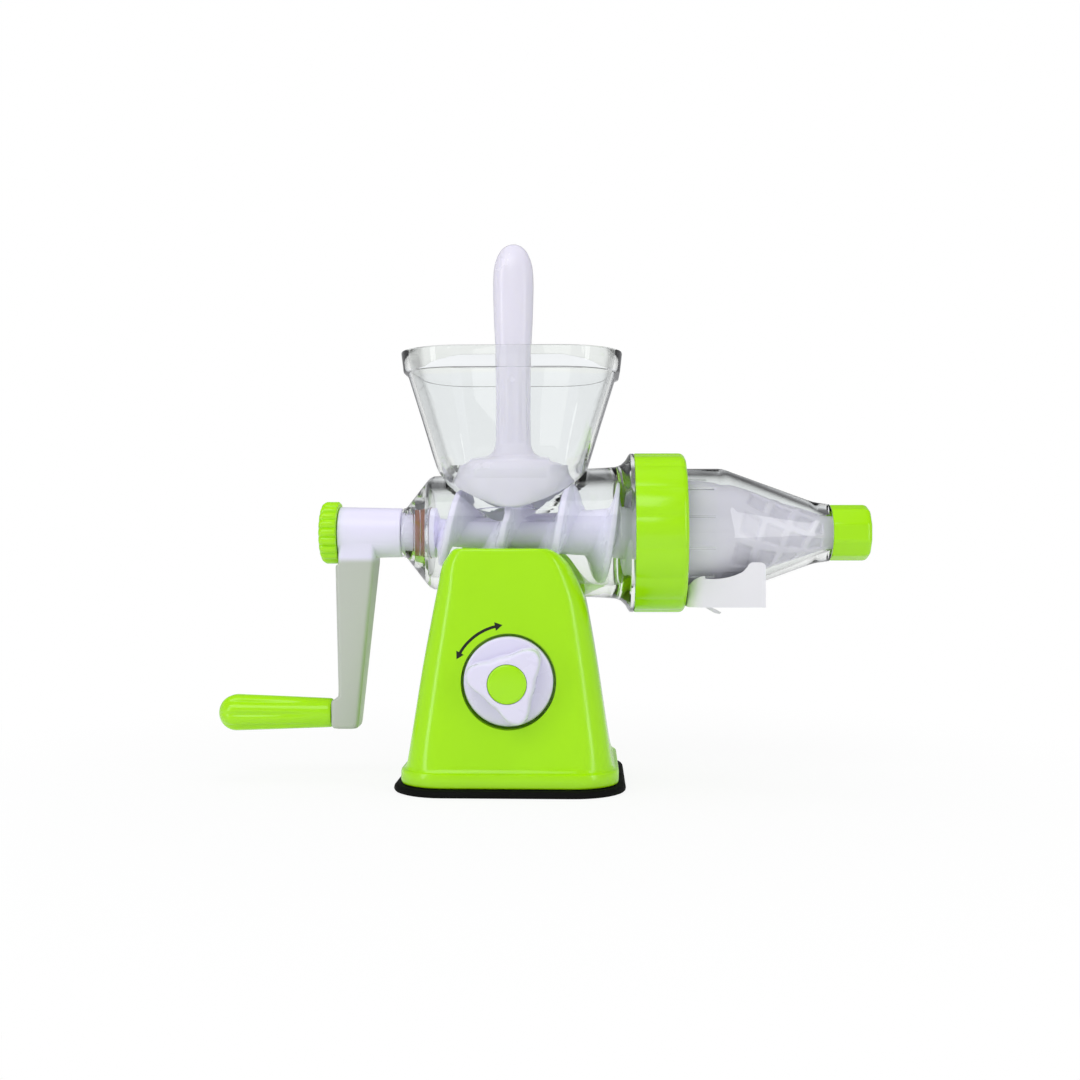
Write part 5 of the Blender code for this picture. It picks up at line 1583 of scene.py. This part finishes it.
class JUICER_OT_stage(bpy.types.Operator):
    """Sets the white floor and surroundings, the soft lights and the camera"""

    bl_idname = "juicer.stage"
    bl_label = "Stage"

    def execute(self, context):
        scene = context.scene
        settings = stage_settings()
        self.make_world(scene, settings.surround)
        self.make_floor()
        target = (0.01, 0.0, 0.14)
        soft_light("key_light", (-0.4, -0.9, 1.1), target, 0.9, 0.7, settings.key_power)
        soft_light("left_strip", (-0.75, -0.55, 0.3), target, 0.16, 1.0, settings.strip_power)
        soft_light("right_strip", (0.8, -0.6, 0.3), target, 0.16, 1.0, settings.strip_power)
        top = soft_light("top_light", (0.05, 0.1, 1.2), target, 1.2, 0.8, settings.top_power)
        top.visible_glossy = False  # no pale glare on what faces up
        self.make_camera(scene, settings)
        scene.view_settings.view_transform = "Standard"
        return {"FINISHED"}

    def make_camera(self, scene, settings):
        camera = bpy.data.cameras.new("camera")
        camera.lens = settings.lens
        camera.sensor_width = 36.0
        obj = bpy.data.objects.new("camera", camera)
        scene.collection.objects.link(obj)
        aim = Vector((settings.aim, 0.0, settings.height))
        away = Vector((math.sin(settings.turn), -math.cos(settings.turn), 0.0))
        obj.location = aim + away * settings.distance
        obj.rotation_euler = (math.pi / 2, 0.0, settings.turn)
        scene.camera = obj

    def make_world(self, scene, surround):
        world = bpy.data.worlds.new("surroundings")
        world.use_nodes = True
        tree = world.node_tree
        path = tree.nodes.new("ShaderNodeLightPath")
        soft = tree.nodes["Background"]
        soft.inputs["Color"].default_value = (0.96, 0.97, 1.0, 1.0)
        place = tree.nodes.new("ShaderNodeTexCoord")
        apart = tree.nodes.new("ShaderNodeSeparateXYZ")
        tree.links.new(place.outputs["Generated"], apart.inputs[0])
        # bright towards the horizon, where clear plastic is looked through, and dim overhead
        level = smooth_step(tree, apart.outputs["Z"], 0.2, 0.6, 1.0, 0.2)
        mirrored = smooth_step(tree, path.outputs["Is Reflection Ray"], 0.0, 1.0, 1.0, 0.45)
        even = tree.nodes.new("ShaderNodeMix")
        even.inputs[3].default_value = surround
        tree.links.new(path.outputs["Is Diffuse Ray"], even.inputs[0])
        tree.links.new(worked_out(tree, "MULTIPLY", level, mirrored), even.inputs[2])
        tree.links.new(even.outputs[0], soft.inputs["Strength"])
        white = tree.nodes.new("ShaderNodeBackground")
        white.inputs["Color"].default_value = (1.0, 1.0, 1.0, 1.0)
        white.inputs["Strength"].default_value = 1.0
        near, far = soft.outputs["Background"], white.outputs["Background"]
        shaders_mixed(tree, path.outputs["Is Camera Ray"], near, far, "World Output")
        scene.world = world

    def make_floor(self):
        bm = bmesh.new()
        bmesh.ops.create_grid(bm, x_segments=4, y_segments=4, size=12.0)
        mesh = bpy.data.meshes.new("floor")
        bm.to_mesh(mesh)
        bm.free()
        tree, shader = new_material("floor_white")
        tree.nodes.remove(shader)
        path = tree.nodes.new("ShaderNodeLightPath").outputs
        paper = tree.nodes.new("ShaderNodeBsdfDiffuse")
        paper.inputs["Color"].default_value = (0.86, 0.86, 0.86, 1.0)
        glow = tree.nodes.new("ShaderNodeEmission")
        glow.inputs["Color"].default_value = (1.0, 1.0, 1.0, 1.0)
        glow.inputs["Strength"].default_value = 1.0
        place = tree.nodes.new("ShaderNodeTexCoord")
        reach = tree.nodes.new("ShaderNodeVectorMath")
        reach.operation = "LENGTH"
        tree.links.new(place.outputs["Object"], reach.inputs[0])
        away = smooth_step(tree, reach.outputs["Value"], 0.12, 0.42, 0.88, 1.0)
        # what the camera sees, straight or through clear plastic
        seen = worked_out(tree, "MAXIMUM", path["Is Camera Ray"], path["Is Transmission Ray"])
        share = worked_out(tree, "MULTIPLY", seen, away)
        lit, glowing = paper.outputs["BSDF"], glow.outputs["Emission"]
        shaders_mixed(tree, share, lit, glowing, "Material Output")
        mesh.materials.append(finish("floor_white"))
        obj = bpy.data.objects.new("floor", mesh)
        bpy.context.scene.collection.objects.link(obj)


# ---------------------------------------------------------------- panel and start


PIECES = (
    JUICER_OT_suction_pad,
    JUICER_OT_housing,
    JUICER_OT_knob,
    JUICER_OT_sign,
    JUICER_OT_barrel_hopper,
    JUICER_OT_pusher,
    JUICER_OT_auger,
    JUICER_OT_crank_arm,
    JUICER_OT_thumb_nut,
    JUICER_OT_grip,
    JUICER_OT_locking_ring,
    JUICER_OT_outlet_cover,
    JUICER_OT_strainer,
    JUICER_OT_juice_spout,
    JUICER_OT_end_cap,
    JUICER_OT_hardware,
    JUICER_OT_stage,
)


class JUICER_PT_panel(bpy.types.Panel):
    """The juicer's pieces, sizes, colours and stage, in the 3D view's sidebar"""

    bl_idname = "JUICER_PT_panel"
    bl_label = "Hand-cranked Juicer"
    bl_space_type = "VIEW_3D"
    bl_region_type = "UI"
    bl_category = "Juicer"

    def draw(self, context):
        for operator in PIECES:
            self.layout.operator(operator.bl_idname)
        for settings in (sizes(), colours(), stage_settings()):
            box = self.layout.box()
            for name in settings.__annotations__:
                box.prop(settings, name)


CLASSES = (JuicerSizes, JuicerColours, JuicerStage, *PIECES, JUICER_PT_panel)


def register():
    for cls in CLASSES:
        bpy.utils.register_class(cls)
    bpy.types.Scene.juicer_sizes = PointerProperty(type=JuicerSizes)
    bpy.types.Scene.juicer_colours = PointerProperty(type=JuicerColours)
    bpy.types.Scene.juicer_stage = PointerProperty(type=JuicerStage)


def unregister():
    del bpy.types.Scene.juicer_stage
    del bpy.types.Scene.juicer_colours
    del bpy.types.Scene.juicer_sizes
    for cls in reversed(CLASSES):
        bpy.utils.unregister_class(cls)


def main():
    register()
    make_materials()
    bpy.ops.juicer.suction_pad()
    bpy.ops.juicer.housing()
    bpy.ops.juicer.knob()
    bpy.ops.juicer.sign()
    bpy.ops.juicer.barrel_hopper()
    bpy.ops.juicer.pusher()
    bpy.ops.juicer.auger()
    bpy.ops.juicer.crank_arm()
    bpy.ops.juicer.thumb_nut()
    bpy.ops.juicer.grip()
    bpy.ops.juicer.locking_ring()
    bpy.ops.juicer.outlet_cover()
    bpy.ops.juicer.strainer()
    bpy.ops.juicer.juice_spout()
    bpy.ops.juicer.end_cap()
    bpy.ops.juicer.hardware()
    bpy.ops.juicer.stage()


if __name__ == "__main__":
    main()
